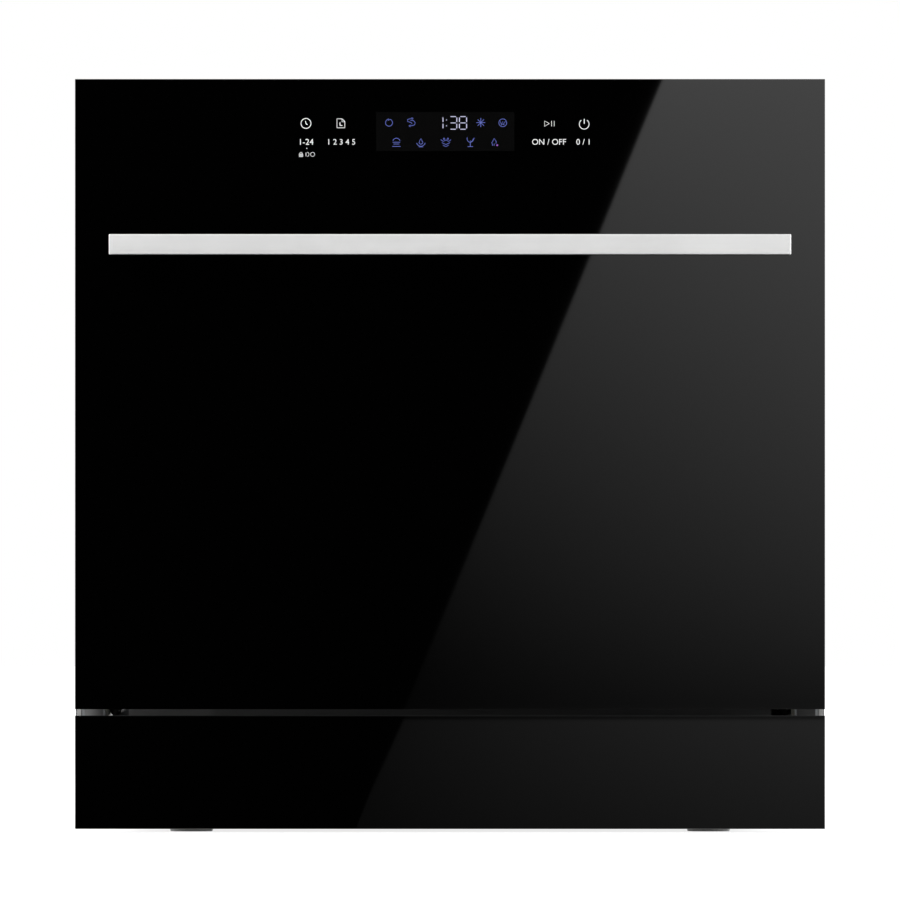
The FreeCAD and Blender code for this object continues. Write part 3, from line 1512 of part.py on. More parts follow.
def cable_gland():
    """The bush in the rear panel that the mains lead goes through."""
    flange = bar("y", rear_y, rear_y + cable_flange, cable_x, cable_z, cable_flange_radius)
    body = bar("y", rear_y - sheet - cable_nut_length, rear_y, cable_x, cable_z, cable_hole_radius)
    bore = rod("y", rear_y - overrun, rear_y + overrun, cable_x, cable_z, cable_bore)
    return fused(flange, body).cut(bore)


def build():
    os.makedirs("parts", exist_ok=True)
    save("door_glass", door_glass())
    save("kick_glass", kick_glass())
    save("handle_bar", handle_bar())
    save("handle_posts", *handle_posts())
    save("door_frame", door_frame())
    save("door_liner", door_liner())
    save("hinge_arms", *hinge_arms())
    save("lower_door_seal", lower_door_seal())
    save("control_housing", control_housing())
    save("control_board", control_board())
    save("dispenser_body", dispenser_body())
    save("dispenser_lid", dispenser_lid())
    save("rinse_cap", rinse_cap())
    save("door_lock", door_lock())
    save("door_strike", door_strike())
    save("tub", *tub())
    save("tub_seal", tub_seal())
    right = side_panel()
    save("side_panel_right", right)
    save("side_panel_left", mirrored(right))
    save("top_panel", top_panel())
    save("rear_panel", rear_panel())
    save("kick_bracket", kick_bracket())
    save("base_tray", base_tray())
    for row, y in foot_ys.items():
        save(f"foot_{row}_right", foot(foot_x, y))
        save(f"foot_{row}_left", foot(-foot_x, y))
    save("hinge_brackets", *hinge_brackets())
    save("balance_springs", *balance_springs())
    save("sump", sump())
    save("spray_arm_post", spray_arm_post())
    save("lower_spray_arm", spray_arm(0, middle_y, spray_z, tub_half - lower_arm_gap, post_spigot_radius))
    save("filter_plate", filter_plate())
    save("filter_cup", filter_cup())
    save("water_softener", water_softener())
    save("salt_cap", salt_cap())
    save("wash_pump", wash_pump())
    save("drain_pump", drain_pump())
    save("inlet_valve", inlet_valve())
    save("drain_hose", drain_hose())
    save("air_break", air_break())
    save("feed_duct", feed_duct())
    save("lower_rack", *rack_wires(lower_floor_z, lower_half_width, lower_height, lower_long_wire_count,
                                   lower_cross_wire_count, lower_rims), *tine_clips())
    save("tine_row_left", *tine_row(tine_xs[0]))
    save("tine_row_right", *tine_row(tine_xs[1]))
    save("wheel_carriers", *wheel_carriers())
    for row, y in wheel_ys.items():
        save(f"wheel_{row}_right", wheel(1, y))
        save(f"wheel_{row}_left", wheel(-1, y))
    save("cutlery_basket", cutlery_basket())
    save("upper_rack", *rack_wires(upper_floor_z, upper_half_width, upper_height, upper_long_wire_count,
                                   upper_cross_wire_count, (upper_floor_z + upper_height - rim_radius,)),
         *shelf_clips())
    save("upper_rails", *upper_rails())
    save("rail_guides", *rail_guides())
    save("upper_glides", *upper_glides())
    save("upper_feed_tube", upper_feed_tube())
    save("upper_spray_arm", spray_arm(0, middle_y, feed_z - run_gap - arm_hub_height,
                                      tub_half - upper_arm_gap, feed_spigot_radius))
    save("cup_shelf", cup_shelf())
    save("casing_screws", *casing_screws())
    save("cable_gland", cable_gland())


build()
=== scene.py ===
# %% [markdown]
# # A compact built-in dishwasher
#
# The real machine is a 595 mm square of black glass with a flat metal handle. Behind the glass
# are a steel tub, two wire racks, two spray arms and the pumps. The imported CAD model already
# holds every part at its true size, so this lesson gives each part its finish, and models again
# by hand the parts whose round or soft forms the plain CAD solids only hint at.
#
# The frame is loaded first.

import json
import math

import bmesh
import bpy
from mathutils import Matrix, Vector


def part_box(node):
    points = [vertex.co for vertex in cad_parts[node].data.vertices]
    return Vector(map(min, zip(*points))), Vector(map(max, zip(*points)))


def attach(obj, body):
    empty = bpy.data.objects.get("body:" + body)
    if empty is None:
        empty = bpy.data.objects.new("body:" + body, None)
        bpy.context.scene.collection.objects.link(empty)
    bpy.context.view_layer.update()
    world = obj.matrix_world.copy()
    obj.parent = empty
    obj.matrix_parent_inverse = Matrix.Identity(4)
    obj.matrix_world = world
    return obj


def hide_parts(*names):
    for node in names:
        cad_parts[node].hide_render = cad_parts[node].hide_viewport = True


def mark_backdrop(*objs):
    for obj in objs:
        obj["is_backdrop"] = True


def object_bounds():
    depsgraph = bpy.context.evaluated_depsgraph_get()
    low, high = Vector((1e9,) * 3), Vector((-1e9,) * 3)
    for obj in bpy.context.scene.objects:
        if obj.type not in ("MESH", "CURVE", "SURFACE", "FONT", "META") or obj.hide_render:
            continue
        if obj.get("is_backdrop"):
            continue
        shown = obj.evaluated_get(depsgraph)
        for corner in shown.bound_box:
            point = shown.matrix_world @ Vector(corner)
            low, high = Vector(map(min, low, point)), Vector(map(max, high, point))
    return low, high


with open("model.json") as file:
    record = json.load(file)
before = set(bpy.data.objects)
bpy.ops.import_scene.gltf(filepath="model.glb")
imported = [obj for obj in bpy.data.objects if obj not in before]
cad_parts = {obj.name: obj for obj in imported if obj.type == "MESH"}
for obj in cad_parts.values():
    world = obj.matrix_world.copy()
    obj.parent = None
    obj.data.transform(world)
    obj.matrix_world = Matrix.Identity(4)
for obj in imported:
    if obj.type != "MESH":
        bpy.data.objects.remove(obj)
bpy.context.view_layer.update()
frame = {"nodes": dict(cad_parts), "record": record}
cad_nodes = frame["nodes"]

# %% [markdown]
# A few helpers come first. Blender's operators act on whatever is selected and active, so each
# piece begins with an empty selection, and faces and edges are picked in code, by their place or
# by the way they look. A finished piece keeps its place in its mesh and its object at the origin.

# %% Helpers: selection and finishing
MM = 0.001
TINY = 0.001 * MM
X, Y, Z = Vector((1, 0, 0)), Vector((0, 1, 0)), Vector((0, 0, 1))


def mm(*values):
    """A vector of millimetres, in metres."""
    return Vector(values) * MM


def box_of(name):
    """The lowest, highest and middle points of a CAD node."""
    low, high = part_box(name)
    return low, high, (low + high) / 2


def fresh():
    """Empties the selection before a new primitive."""
    bpy.ops.object.select_all(action="DESELECT")


def take(obj):
    """Makes obj the only selected and active object."""
    fresh()
    obj.select_set(True)
    bpy.context.view_layer.objects.active = obj


def edit(obj, everything=False):
    """Opens obj in edit mode, with nothing or everything selected."""
    take(obj)
    bpy.ops.object.mode_set(mode="EDIT")
    bpy.ops.mesh.select_all(action="SELECT" if everything else "DESELECT")


def done():
    """Closes edit mode."""
    bpy.ops.object.mode_set(mode="OBJECT")


def pick(kind, test):
    """In edit mode, selects only the faces, edges or vertices that pass the test."""
    bpy.ops.mesh.select_mode(type=kind)
    bpy.ops.mesh.select_all(action="DESELECT")
    mesh = bmesh.from_edit_mesh(bpy.context.object.data)
    for part in {"FACE": mesh.faces, "EDGE": mesh.edges, "VERT": mesh.verts}[kind]:
        if test(part):
            part.select_set(True)
    bmesh.update_edit_mesh(bpy.context.object.data)

# %% Helpers: tests and steps of edit mode
def facing(direction):
    """A test for faces that look along a direction."""
    return lambda face: face.normal.dot(direction) > 0.9


def running(axis):
    """A test for edges that run along an axis."""
    return lambda edge: abs((edge.verts[0].co - edge.verts[1].co).normalized().dot(axis)) > 0.9


def square_to(axis):
    """A test for edges that lie square to an axis."""
    return lambda edge: abs((edge.verts[0].co - edge.verts[1].co).dot(axis)) < TINY


def sharp(edge):
    """A test for edges where two faces meet at more than about 57 degrees."""
    return edge.calc_face_angle(0) > 1.0


def round_off(width, segments=3):
    """In edit mode, bevels the selected edges by width millimetres."""
    bpy.ops.mesh.bevel(offset=width * MM, segments=segments, affect="EDGES")


def inset(width):
    """In edit mode, insets the selected face by width millimetres."""
    bpy.ops.mesh.inset(thickness=width * MM)


def draw_out(move):
    """In edit mode, extrudes what is selected along a vector."""
    bpy.ops.mesh.extrude_region_move(TRANSFORM_OT_translate={"value": move})


def outward():
    """In edit mode, merges doubles and turns every face outwards."""
    bpy.ops.mesh.select_all(action="SELECT")
    bpy.ops.mesh.remove_doubles(threshold=0.01 * MM)
    bpy.ops.mesh.normals_make_consistent(inside=False)

# %% Helpers: objects
def joined(pieces):
    """Joins several objects into the first of them."""
    fresh()
    for part in pieces:
        part.select_set(True)
    bpy.context.view_layer.objects.active = pieces[0]
    bpy.ops.object.join()
    return pieces[0]


def copied(obj, shift=(0, 0, 0), mirror_x=False):
    """A copy of obj with its own mesh, moved, or mirrored across the middle plane."""
    other = obj.copy()
    other.data = obj.data.copy()
    bpy.context.scene.collection.objects.link(other)
    other.data.transform(Matrix.Translation(Vector(shift)))
    if mirror_x:
        other.data.transform(Matrix.Scale(-1, 4, X))
        other.data.flip_normals()
    return other


def placed(obj):
    """Moves an object's place, turn and size into its mesh."""
    take(obj)
    bpy.ops.object.transform_apply(location=True, rotation=True, scale=True)
    return obj


def modified(obj, kind, **settings):
    """Adds a modifier to obj, sets it and applies it."""
    take(obj)
    made = obj.modifiers.new(kind.title(), kind)
    for key, value in settings.items():
        setattr(made, key, value)
    bpy.ops.object.modifier_apply(modifier=made.name)
    return obj


def piece(obj, name, body, slot, stands_for=(), angle=35, material=None):
    """Names, smooths and dresses a finished piece, and puts it on its body."""
    placed(obj)
    obj.name = name
    bpy.ops.object.shade_smooth_by_angle(angle=math.radians(angle))
    modified(obj, "WEIGHTED_NORMAL", keep_sharp=True)
    obj.data.materials.clear()
    obj.data.materials.append(material or finishes[slot])
    if stands_for:
        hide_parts(*stands_for)
    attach(obj, body)
    return obj

# %% Helpers: first shapes
def block(low, high, bevel=0.0, segments=2):
    """A cube set between two corners, with all its edges rounded by bevel millimetres."""
    fresh()
    low, high = [Vector([end(pair) for pair in zip(low, high)]) for end in (min, max)]
    bpy.ops.mesh.primitive_cube_add(size=1, location=(low + high) / 2, scale=high - low)
    obj = placed(bpy.context.object)
    if bevel:
        edit(obj, True)
        round_off(bevel, segments)
        done()
    return obj


def disc(centre, axis, radius, length, sides=32, bevel=0.0, segments=2):
    """A cylinder from centre along axis, sized in millimetres, with both its rims rounded."""
    fresh()
    bpy.ops.mesh.primitive_cylinder_add(
        vertices=sides, radius=radius * MM, depth=length * MM,
        location=Vector(centre) + axis * length * MM / 2, rotation=axis.to_track_quat("Z", "Y").to_euler())
    obj = placed(bpy.context.object)
    if bevel:
        edit(obj)
        pick("EDGE", lambda edge: any(len(face.verts) > 4 for face in edge.link_faces))
        round_off(bevel, segments)
        done()
    return obj

# %% [markdown]
# ## Finishes
#
# Each finish on the real machine has structure that the eye reads before it reads the colour:
# brush lines in steel, the spangle of zinc, the fine grain of moulded plastic, a little dust where
# it can settle. The effects that several finishes share are node groups. Each group gives out
# only masks, colours and heights, and the shader with its fixed numbers stays in the material.

# %% Helpers: nodes and their links
def node(tree, kind, links=(), **settings):
    """A new node with its settings; links are (input name or number, value or output socket)."""
    made = tree.nodes.new("ShaderNode" + kind)
    for key, value in settings.items():
        setattr(made, key, value)
    for label, value in links:
        if isinstance(value, bpy.types.NodeSocket):
            tree.links.new(value, made.inputs[label])
        else:
            made.inputs[label].default_value = value
    return made


def maths(tree, operation, *values):
    """A Math node's result."""
    return node(tree, "Math", enumerate(values), operation=operation).outputs[0]


def vector(tree, operation, *values, output=0):
    """A Vector Math node's result."""
    return node(tree, "VectorMath", enumerate(values), operation=operation).outputs[output]


def mix(tree, share, first, second):
    """A colour mixed between two colours or sockets."""
    return node(tree, "Mix", [(0, share), (6, first), (7, second)], data_type="RGBA").outputs[2]


def noise(tree, place, scale, detail=2.0, roughness=0.5, output=0):
    """A Noise texture's value, or its colour."""
    links = [("Vector", place), ("Scale", scale), ("Detail", detail), ("Roughness", roughness)]
    return node(tree, "TexNoise", links).outputs[output]


def ramp(tree, share, stops):
    """Greys that change along a share, from (place, level) stops."""
    made = node(tree, "ValToRGB", [(0, share)])
    elements = made.color_ramp.elements
    while len(elements) < len(stops):
        elements.new(0.5)
    for element, (place, level) in zip(elements, stops):
        element.position, element.color = place, (level, level, level, 1)
    return made.outputs[0]


def on_object(tree):
    """The place on the piece, which stays where it is when the piece moves."""
    return node(tree, "TexCoord").outputs["Object"]

# %% Groups: brush lines, grain, zinc spangle, holes and dust
def new_group(name, **inputs):
    """A shader node group and its inputs, one to each named value."""
    group = bpy.data.node_groups.new(name, "ShaderNodeTree")
    for label, value in inputs.items():
        kind = "NodeSocketVector" if isinstance(value, tuple) else "NodeSocketFloat"
        group.interface.new_socket(name=label, in_out="INPUT", socket_type=kind).default_value = value
    return group, group.nodes.new("NodeGroupInput").outputs


def gives(group, **results):
    """Puts the results of a group out through sockets of their names."""
    for label in results:
        group.interface.new_socket(name=label, in_out="OUTPUT", socket_type="NodeSocketFloat")
    end = group.nodes.new("NodeGroupOutput")
    for label, value in results.items():
        group.links.new(value, end.inputs[label])
    return group


def brush_group():
    """Fine parallel lines; Stretch is small along the brushing and large across it."""
    group, given = new_group("Brush lines", Stretch=(1, 1, 1), Depth=0.1)
    place = vector(group, "MULTIPLY", on_object(group), given["Stretch"])
    broad = maths(group, "MULTIPLY", noise(group, place, 0.13, 1.0), 0.3)
    lines = maths(group, "MULTIPLY_ADD", noise(group, place, 1.0, 3.0, 0.65), 0.7, broad)
    return gives(group, Lines=lines, Height=maths(group, "MULTIPLY", lines, given["Depth"]))


def grain_group():
    """The pebbled skin that a spark-eroded mould leaves on plastic, and soft patches."""
    group, given = new_group("Moulded grain", Scale=900.0, Depth=0.2)
    place = on_object(group)
    fine = maths(group, "MULTIPLY", noise(group, place, given["Scale"]), given["Depth"])
    return gives(group, Height=fine, Mask=noise(group, place, 14.0, 4.0, 0.6))


def spangle_group():
    """The frosty crystals of hot-dip zinc: cells whose borders a noise bends."""
    group, given = new_group("Zinc spangle", Scale=170.0)
    place = on_object(group)
    bend = vector(group, "MULTIPLY", noise(group, place, 110.0, output="Color"), (0.01, 0.01, 0.01))
    links = [("Vector", vector(group, "ADD", place, bend)), ("Scale", given["Scale"])]
    cells = node(group, "TexVoronoi", links).outputs["Color"]
    return gives(group, Crystals=node(group, "SeparateColor", [(0, cells)]).outputs[0])


def holes_group():
    """Small round holes on an even grid, as in perforated sheet; Density is holes per metre."""
    group, given = new_group("Perforation", Density=500.0)
    cell = vector(group, "FRACTION", vector(group, "MULTIPLY", on_object(group), given["Density"]))
    off = vector(group, "DISTANCE", cell, (0.5, 0.5, 0.5), output="Value")
    return gives(group, Holes=maths(group, "LESS_THAN", off, 0.4))


def dust_group():
    """Dust that has settled on faces that look up, thicker in soft patches."""
    group, given = new_group("Settled dust", Amount=0.2)
    up = node(group, "SeparateXYZ", [(0, node(group, "NewGeometry").outputs["Normal"])]).outputs[2]
    flat = maths(group, "POWER", maths(group, "MAXIMUM", up, 0.0), 3.0)
    patches = maths(group, "MULTIPLY", flat, noise(group, on_object(group), 9.0, 6.0, 0.7))
    return gives(group, Mask=maths(group, "MULTIPLY", patches, given["Amount"]))


BRUSH, GRAIN, SPANGLE = brush_group(), grain_group(), spangle_group()
HOLES, DUST = holes_group(), dust_group()
print("node groups", [g.name for g in bpy.data.node_groups])

# %% [markdown]
# One builder serves all the finishes. It takes the colour and gloss and the effects that the
# finish shows, and wires them to the Principled shader. A number that is the same all over the
# surface is set on the shader's own socket, because only that survives an export.

# %% The finish builder
def new_material(name, **sockets):
    """A material, its node tree and its shader, with plain values on the shader's own inputs."""
    material = bpy.data.materials.new(name)
    material.use_nodes = True
    shader = material.node_tree.nodes["Principled BSDF"]
    for label, value in sockets.items():
        shader.inputs[label.replace("_", " ")].default_value = value
    return material, material.node_tree, shader


def finish(name, colour, roughness, metallic=0.0, brush=None, grain=(600.0, 0.05), spangle=0.0,
           mottle=0.12, sheen_range=0.08, dust=0.0, bump=0.3, holes=0.0, **sockets):
    """A finish of one colour, or of one grey where colour is a number.

    brush is (stretch, depth) and grain (scale, depth), as the groups take them. mottle varies the
    colour and sheen_range the roughness in soft patches. holes are counted per metre.
    """
    material, tree, shader = new_material(name, Metallic=metallic, **sockets)
    colour = colour if isinstance(colour, tuple) else (colour,) * 3

    def effect(group, **values):
        return node(tree, "Group", values.items(), node_tree=group).outputs

    def shaded(by):
        return [min(1.0, c * by) for c in colour] + [1]

    height, mask = effect(GRAIN, Scale=grain[0], Depth=grain[1])
    tone = mix(tree, mask, shaded(1 - mottle), shaded(1 + mottle))
    shine = maths(tree, "MULTIPLY_ADD", mask, sheen_range, roughness - sheen_range / 2)
    if brush:
        lines, furrows = effect(BRUSH, Stretch=brush[0], Depth=brush[1])
        tone = mix(tree, maths(tree, "MULTIPLY", lines, 0.35), tone, shaded(0.72))
        shine = maths(tree, "MULTIPLY_ADD", lines, brush[1], shine)
        height = maths(tree, "ADD", height, furrows)
    if spangle:
        cells = effect(SPANGLE)[0]
        tone = mix(tree, maths(tree, "MULTIPLY", cells, spangle), tone, shaded(1.5))
        shine = maths(tree, "MULTIPLY_ADD", cells, -spangle * 0.5, shine)
    if holes:
        pierced = effect(HOLES, Density=holes)[0]
        # The holes are real, and their near-black tone is painted shade seen through them.
        tone = mix(tree, pierced, tone, (0.02, 0.02, 0.02, 1))
        height = maths(tree, "SUBTRACT", height, pierced)
    if dust:
        settled = effect(DUST, Amount=dust)[0]
        tone = mix(tree, settled, tone, (0.36, 0.34, 0.31, 1))
        shine = maths(tree, "MAXIMUM", shine, maths(tree, "MULTIPLY", settled, 0.9))
    tree.links.new(tone, shader.inputs["Base Color"])
    tree.links.new(shine, shader.inputs["Roughness"])
    if bump:
        lift = node(tree, "Bump", [("Height", height), ("Strength", bump), ("Distance", 0.2 * MM)])
        tree.links.new(lift.outputs[0], shader.inputs["Normal"])
    return material

# %% The finishes, one to each material slot of the record
ACROSS_X = (12.0, 2600.0, 2600.0)
ACROSS_Z = (2600.0, 2600.0, 12.0)
finishes = {
    "black_glass": finish("black glass", 0.0003, 0.016, sheen_range=0.01, bump=0.0, IOR=1.5),
    "brushed_aluminium": finish("brushed aluminium", (0.93, 0.93, 0.925), 0.3, 1.0,
                                brush=(ACROSS_X, 0.22), mottle=0.02),
    "handle_steel": finish("satin steel", 0.6, 0.32, 1.0, brush=(ACROSS_X, 0.12), mottle=0.04),
    "tub_steel": finish("tub stainless", (0.66, 0.65, 0.63), 0.22, 1.0,
                        brush=(ACROSS_Z, 0.12), mottle=0.05),
    "galvanised_steel": finish("galvanised sheet", (0.33, 0.34, 0.35), 0.6, 0.9,
                               spangle=0.13, dust=0.35, mottle=0.06),
    "painted_steel": finish("black powder coat", (0.018, 0.018, 0.019), 0.48,
                            grain=(700.0, 0.5), dust=0.25),
    "hinge_steel": finish("zinc plate", (0.56, 0.55, 0.5), 0.34, 1.0, mottle=0.14),
    "spring_steel": finish("oiled spring wire", (0.16, 0.155, 0.15), 0.34, 1.0, mottle=0.3),
    "coated_wire": finish("nylon coat", (0.2, 0.215, 0.24), 0.36,
                          grain=(500.0, 0.1), mottle=0.06, Coat_Weight=0.15),
    "rack_plastic": finish("rack plastic", (0.15, 0.165, 0.19), 0.45, grain=(1100.0, 0.3)),
    "wheel_plastic": finish("wheel plastic", (0.3, 0.32, 0.35), 0.42, grain=(1100.0, 0.3)),
    "arm_plastic": finish("spray arm plastic", (0.2, 0.215, 0.24), 0.4, grain=(1000.0, 0.3)),
    "base_plastic": finish("base tray plastic", (0.03, 0.03, 0.033), 0.5, grain=(800.0, 0.5), dust=0.6),
    "foot_plastic": finish("foot plastic", (0.8, 0.8, 0.79), 0.5, grain=(800.0, 0.5), mottle=0.05),
    "white_plastic": finish("white plastic", (0.72, 0.72, 0.7), 0.38, grain=(1000.0, 0.25), mottle=0.04),
    "dispenser_plastic": finish("dispenser plastic", (0.3, 0.31, 0.33), 0.34,
                                grain=(1100.0, 0.25), mottle=0.05),
    "cap_plastic": finish("cap plastic", (0.09, 0.1, 0.12), 0.4, grain=(1100.0, 0.3)),
    "seal_rubber": finish("seal rubber", (0.03, 0.03, 0.033), 0.62, grain=(700.0, 0.4), mottle=0.2),
    "hose_rubber": finish("hose rubber", (0.05, 0.05, 0.055), 0.5, grain=(700.0, 0.3), dust=0.4),
    "pump_body": finish("pump housing", (0.03, 0.03, 0.034), 0.44, grain=(900.0, 0.4), dust=0.4),
    "circuit_board": finish("circuit board", (0.012, 0.07, 0.03), 0.3, grain=(300.0, 0.2), mottle=0.25),
    "screw_steel": finish("zinc screw", (0.45, 0.445, 0.43), 0.36, 1.0, mottle=0.1),
    "filter_steel": finish("filter stainless", (0.6, 0.6, 0.59), 0.3, 1.0,
                           mottle=0.05, bump=0.5, holes=420.0),
}
print("finishes", len(finishes))

# %% [markdown]
# The pressed and moulded parts whose CAD shape is right keep it and only get their finish. Each CAD
# node carries a material named after its slot, so the finish replaces it there.

# %% Dress the CAD nodes
slots_of = {}
for node_name, obj in cad_nodes.items():
    for holder in obj.material_slots:
        slot_name = holder.material.name.split(".")[0]
        slots_of[node_name] = slot_name
        if slot_name in finishes:
            holder.material = finishes[slot_name]
        else:
            print("no finish for", node_name, slot_name)

# %% [markdown]
# ## The handle
#
# The handle is a flat aluminium extrusion, about 540 mm long, with crisp edges that catch the
# light. A cube is set to its box and all its edges get one small round. A brushed finish runs
# along it.

# %% Handle bar
END_GAP, TOP_GAP, HANDLE_ROUND = 0.8, 0.5, 0.7
low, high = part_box("handle_bar")
front_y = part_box("door_glass")[0].y
handle = block(low + mm(END_GAP, 0, 0), high - mm(END_GAP, 0, TOP_GAP), HANDLE_ROUND, 3)
piece(handle, "handle_bar_brushed", "door", "brushed_aluminium", ["handle_bar"])
print("handle", round((high - low).x, 4), "m long")

# %% [markdown]
# ## The panes
#
# The door and the plinth each carry a sheet of black glass. A cut sheet has square corners, and its
# edges are ground to a narrow shine. A cube is set to each sheet's box and its edges are broken, and
# the posts of the handle pass through two drilled holes, which the Boolean modifier cuts.

# %% Glass panes
POST_X, HOLE_RADIUS, HOLE_START, HOLE_LONG, GROUND_EDGE = 237.0, 4.4, 2.0, 9.0, 0.35
hole_z = box_of("handle_posts")[2].z
drill = joined([disc((side * POST_X * MM, front_y - HOLE_START * MM, hole_z), Y, HOLE_RADIUS, HOLE_LONG, 40)
                for side in (-1, 1)])
for name, body in (("door_glass", "door"), ("kick_glass", "cabinet")):
    pane = block(*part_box(name), GROUND_EDGE)
    if name == "door_glass":
        modified(pane, "BOOLEAN", object=drill, operation="DIFFERENCE", solver="EXACT")
    piece(pane, name + "_pane", body, "black_glass", [name])
bpy.data.objects.remove(drill)

# %% [markdown]
# ## The racks
#
# Both racks are welded from steel wire with a grey nylon coat. A wire is drawn as it is bent in the
# factory: a circle is extruded along each straight run and spun round each bend. One wire of each
# kind is drawn, and the others are copies, each with its own mesh, set beside it.

# %% A wire, drawn by extruding and spinning a circle
WIRE, RIM, BEND, BEND_STEPS, WIRE_SIDES = 2.0, 2.6, 14.0, 4, 10


def wire(start, heading, steps, radius, closed=False):
    """Draws a wire; a step is a run in millimetres, or a turn as (axis, degrees)."""
    fresh()
    here = start
    bpy.ops.mesh.primitive_circle_add(
        vertices=WIRE_SIDES, radius=radius * MM, fill_type="NOTHING", location=here,
        rotation=heading.to_track_quat("Z", "Y").to_euler())
    obj = placed(bpy.context.object)
    edit(obj, True)
    for step in steps:
        if isinstance(step, float):
            draw_out(heading * step * MM)
            here = here + heading * step * MM
        else:
            axis, angle = step[0], math.radians(step[1])
            centre = here + axis.cross(heading) * math.copysign(BEND * MM, angle)
            bpy.ops.mesh.spin(steps=BEND_STEPS, angle=angle * SPIN_SIGN, center=centre, axis=axis)
            turn = Matrix.Rotation(angle, 3, axis)
            here, heading = centre + turn @ (here - centre), turn @ heading
    if not closed:
        pick("EDGE", lambda edge: edge.is_boundary)
        bpy.ops.mesh.edge_face_add()
    outward()
    done()
    return obj


def spin_sign():
    """Which sign of angle turns a spun vertex by the right-hand rule, found by trying."""
    fresh()
    bpy.ops.mesh.primitive_circle_add(vertices=3, radius=0.01, location=X)
    trial = bpy.context.object
    edit(trial, True)
    bpy.ops.mesh.spin(steps=1, angle=math.pi / 2, center=(0, 0, 0), axis=Z)
    done()
    sign = 1 if max(v.co.y for v in trial.data.vertices) > 0.5 else -1
    bpy.data.objects.remove(trial)
    return sign


SPIN_SIGN = spin_sign()
print("spin turns by the right hand with sign", SPIN_SIGN)

# %% Sizes that both racks share, in millimetres
FRONT, REAR, RIM_OUT, CROSSED = -157.5, 214.5, 4.0, 2 * 1.732
LOWER = {"floor": 168.0, "half": 222.0, "tall": 128.0, "long": 13, "cross": 7, "rims": (232.0, 293.4)}
UPPER = {"floor": 404.0, "half": 210.0, "tall": 82.0, "long": 13, "cross": 6, "rims": (483.4,)}


def spaced(low, high, count):
    """Evenly spaced numbers from low to high."""
    return [low + (high - low) * i / (count - 1) for i in range(count)]


def basket(sizes):
    """The wires of one rack: U shapes both ways and closed rims round the outside."""
    half, leg, top = sizes["half"], sizes["tall"] - BEND, sizes["floor"] + sizes["tall"]
    xs = spaced(-half + 2 * BEND, half - 2 * BEND, sizes["long"])
    ys = spaced(FRONT + 2 * BEND, REAR - 2 * BEND, sizes["cross"])
    first = wire(mm(xs[0], FRONT, top), -Z, [leg, (X, 90), REAR - FRONT - 2 * BEND, (X, 90), leg], WIRE)
    made = [first] + [copied(first, mm(x - xs[0], 0, 0)) for x in xs[1:]]
    leg += CROSSED
    first = wire(mm(-half, ys[0], top), -Z, [leg, (Y, -90), 2 * half - 2 * BEND, (Y, -90), leg], WIRE)
    made += [first] + [copied(first, mm(0, y - ys[0], 0)) for y in ys[1:]]
    side, front, rear = half + RIM_OUT, FRONT - RIM_OUT, REAR + RIM_OUT
    half_round = [2 * side - 2 * BEND, (Z, 90), rear - front - 2 * BEND, (Z, 90)]
    for z in sizes["rims"]:
        made.append(wire(mm(-side + BEND, front, z), X, half_round * 2, RIM, closed=True))
    return made


def rack_grip(name, body, half, foot):
    """The moulded grip on the front rim of a rack."""
    grip = block(mm(-half, FRONT - 9.5, foot), mm(half, FRONT + 0.5, foot + 13.0), 3.2, 4)
    piece(grip, name, body, "rack_plastic")

# %% Lower rack with the clips of its tine rows
TINE_XS, TINE_Y, TINE_Z, ROW_HALF = (-97.0, 32.333), 28.5, 172.08, 165.0
CLIP_LONG, CLIP_RADIUS, CLIP_HALF, CLIP_FOOT = 6.0, 4.4, 3.6, 168.8
lower = basket(LOWER)
for x in TINE_XS:
    for y in (TINE_Y - ROW_HALF - CLIP_LONG, TINE_Y + ROW_HALF):
        lower.append(disc(mm(x, y, TINE_Z), Y, CLIP_RADIUS, CLIP_LONG, 20, 0.8))
        lower.append(block(mm(x - CLIP_HALF, y, CLIP_FOOT), mm(x + CLIP_HALF, y + CLIP_LONG, TINE_Z), 0.6))
rack_grip("rack_grip", "lower_rack", 62.0, 287.0)
lower_rack = piece(joined(lower), "lower_rack_wires", "lower_rack", "coated_wire", ["lower_rack"], 50)
print("lower rack", len(lower_rack.data.polygons), "faces")

# %% Upper rack with the clips of its cup shelf
SHELF_X, SHELF_Z, SHELF_CLIP_YS = 203.27, 456.0, (-69.3, 57.1)
upper = basket(UPPER)
for y in SHELF_CLIP_YS:
    upper.append(disc(mm(SHELF_X, y, SHELF_Z), Y, 4.8, CLIP_LONG, 20, 0.8))
rack_grip("upper_rack_grip", "upper_rack", 52.0, 477.0)
upper_rack = piece(joined(upper), "upper_rack_wires", "upper_rack", "coated_wire", ["upper_rack"], 50)
print("upper rack", len(upper_rack.data.polygons), "faces")

# %% Folding tine rows
PINS, PIN_STEP, PIN_TALL, PIN_RADIUS = 11, 30.0, 82.0, 1.7


def domed_pin(foot):
    """An upright wire with a rounded tip: the top rim of a cylinder is drawn in by a wide bevel."""
    pin = disc(foot, Z, PIN_RADIUS, PIN_TALL, WIRE_SIDES)
    edit(pin)
    top = foot.z + PIN_TALL * MM
    pick("EDGE", lambda edge: all(abs(v.co.z - top) < TINY for v in edge.verts))
    round_off(PIN_RADIUS * 0.75, 4)
    done()
    return pin


for side, x in zip(("left", "right"), TINE_XS):
    row = "tine_row_" + side
    base = disc(mm(x, TINE_Y - ROW_HALF - CLIP_LONG, TINE_Z), Y, 2.2, 2 * (ROW_HALF + CLIP_LONG), 14, 0.6)
    first = domed_pin(mm(x, TINE_Y - PIN_STEP * (PINS - 1) / 2, TINE_Z))
    pins = [first] + [copied(first, mm(0, PIN_STEP * i, 0)) for i in range(1, PINS)]
    piece(joined([base] + pins), "tines_" + side, row, "coated_wire", [row], 50)

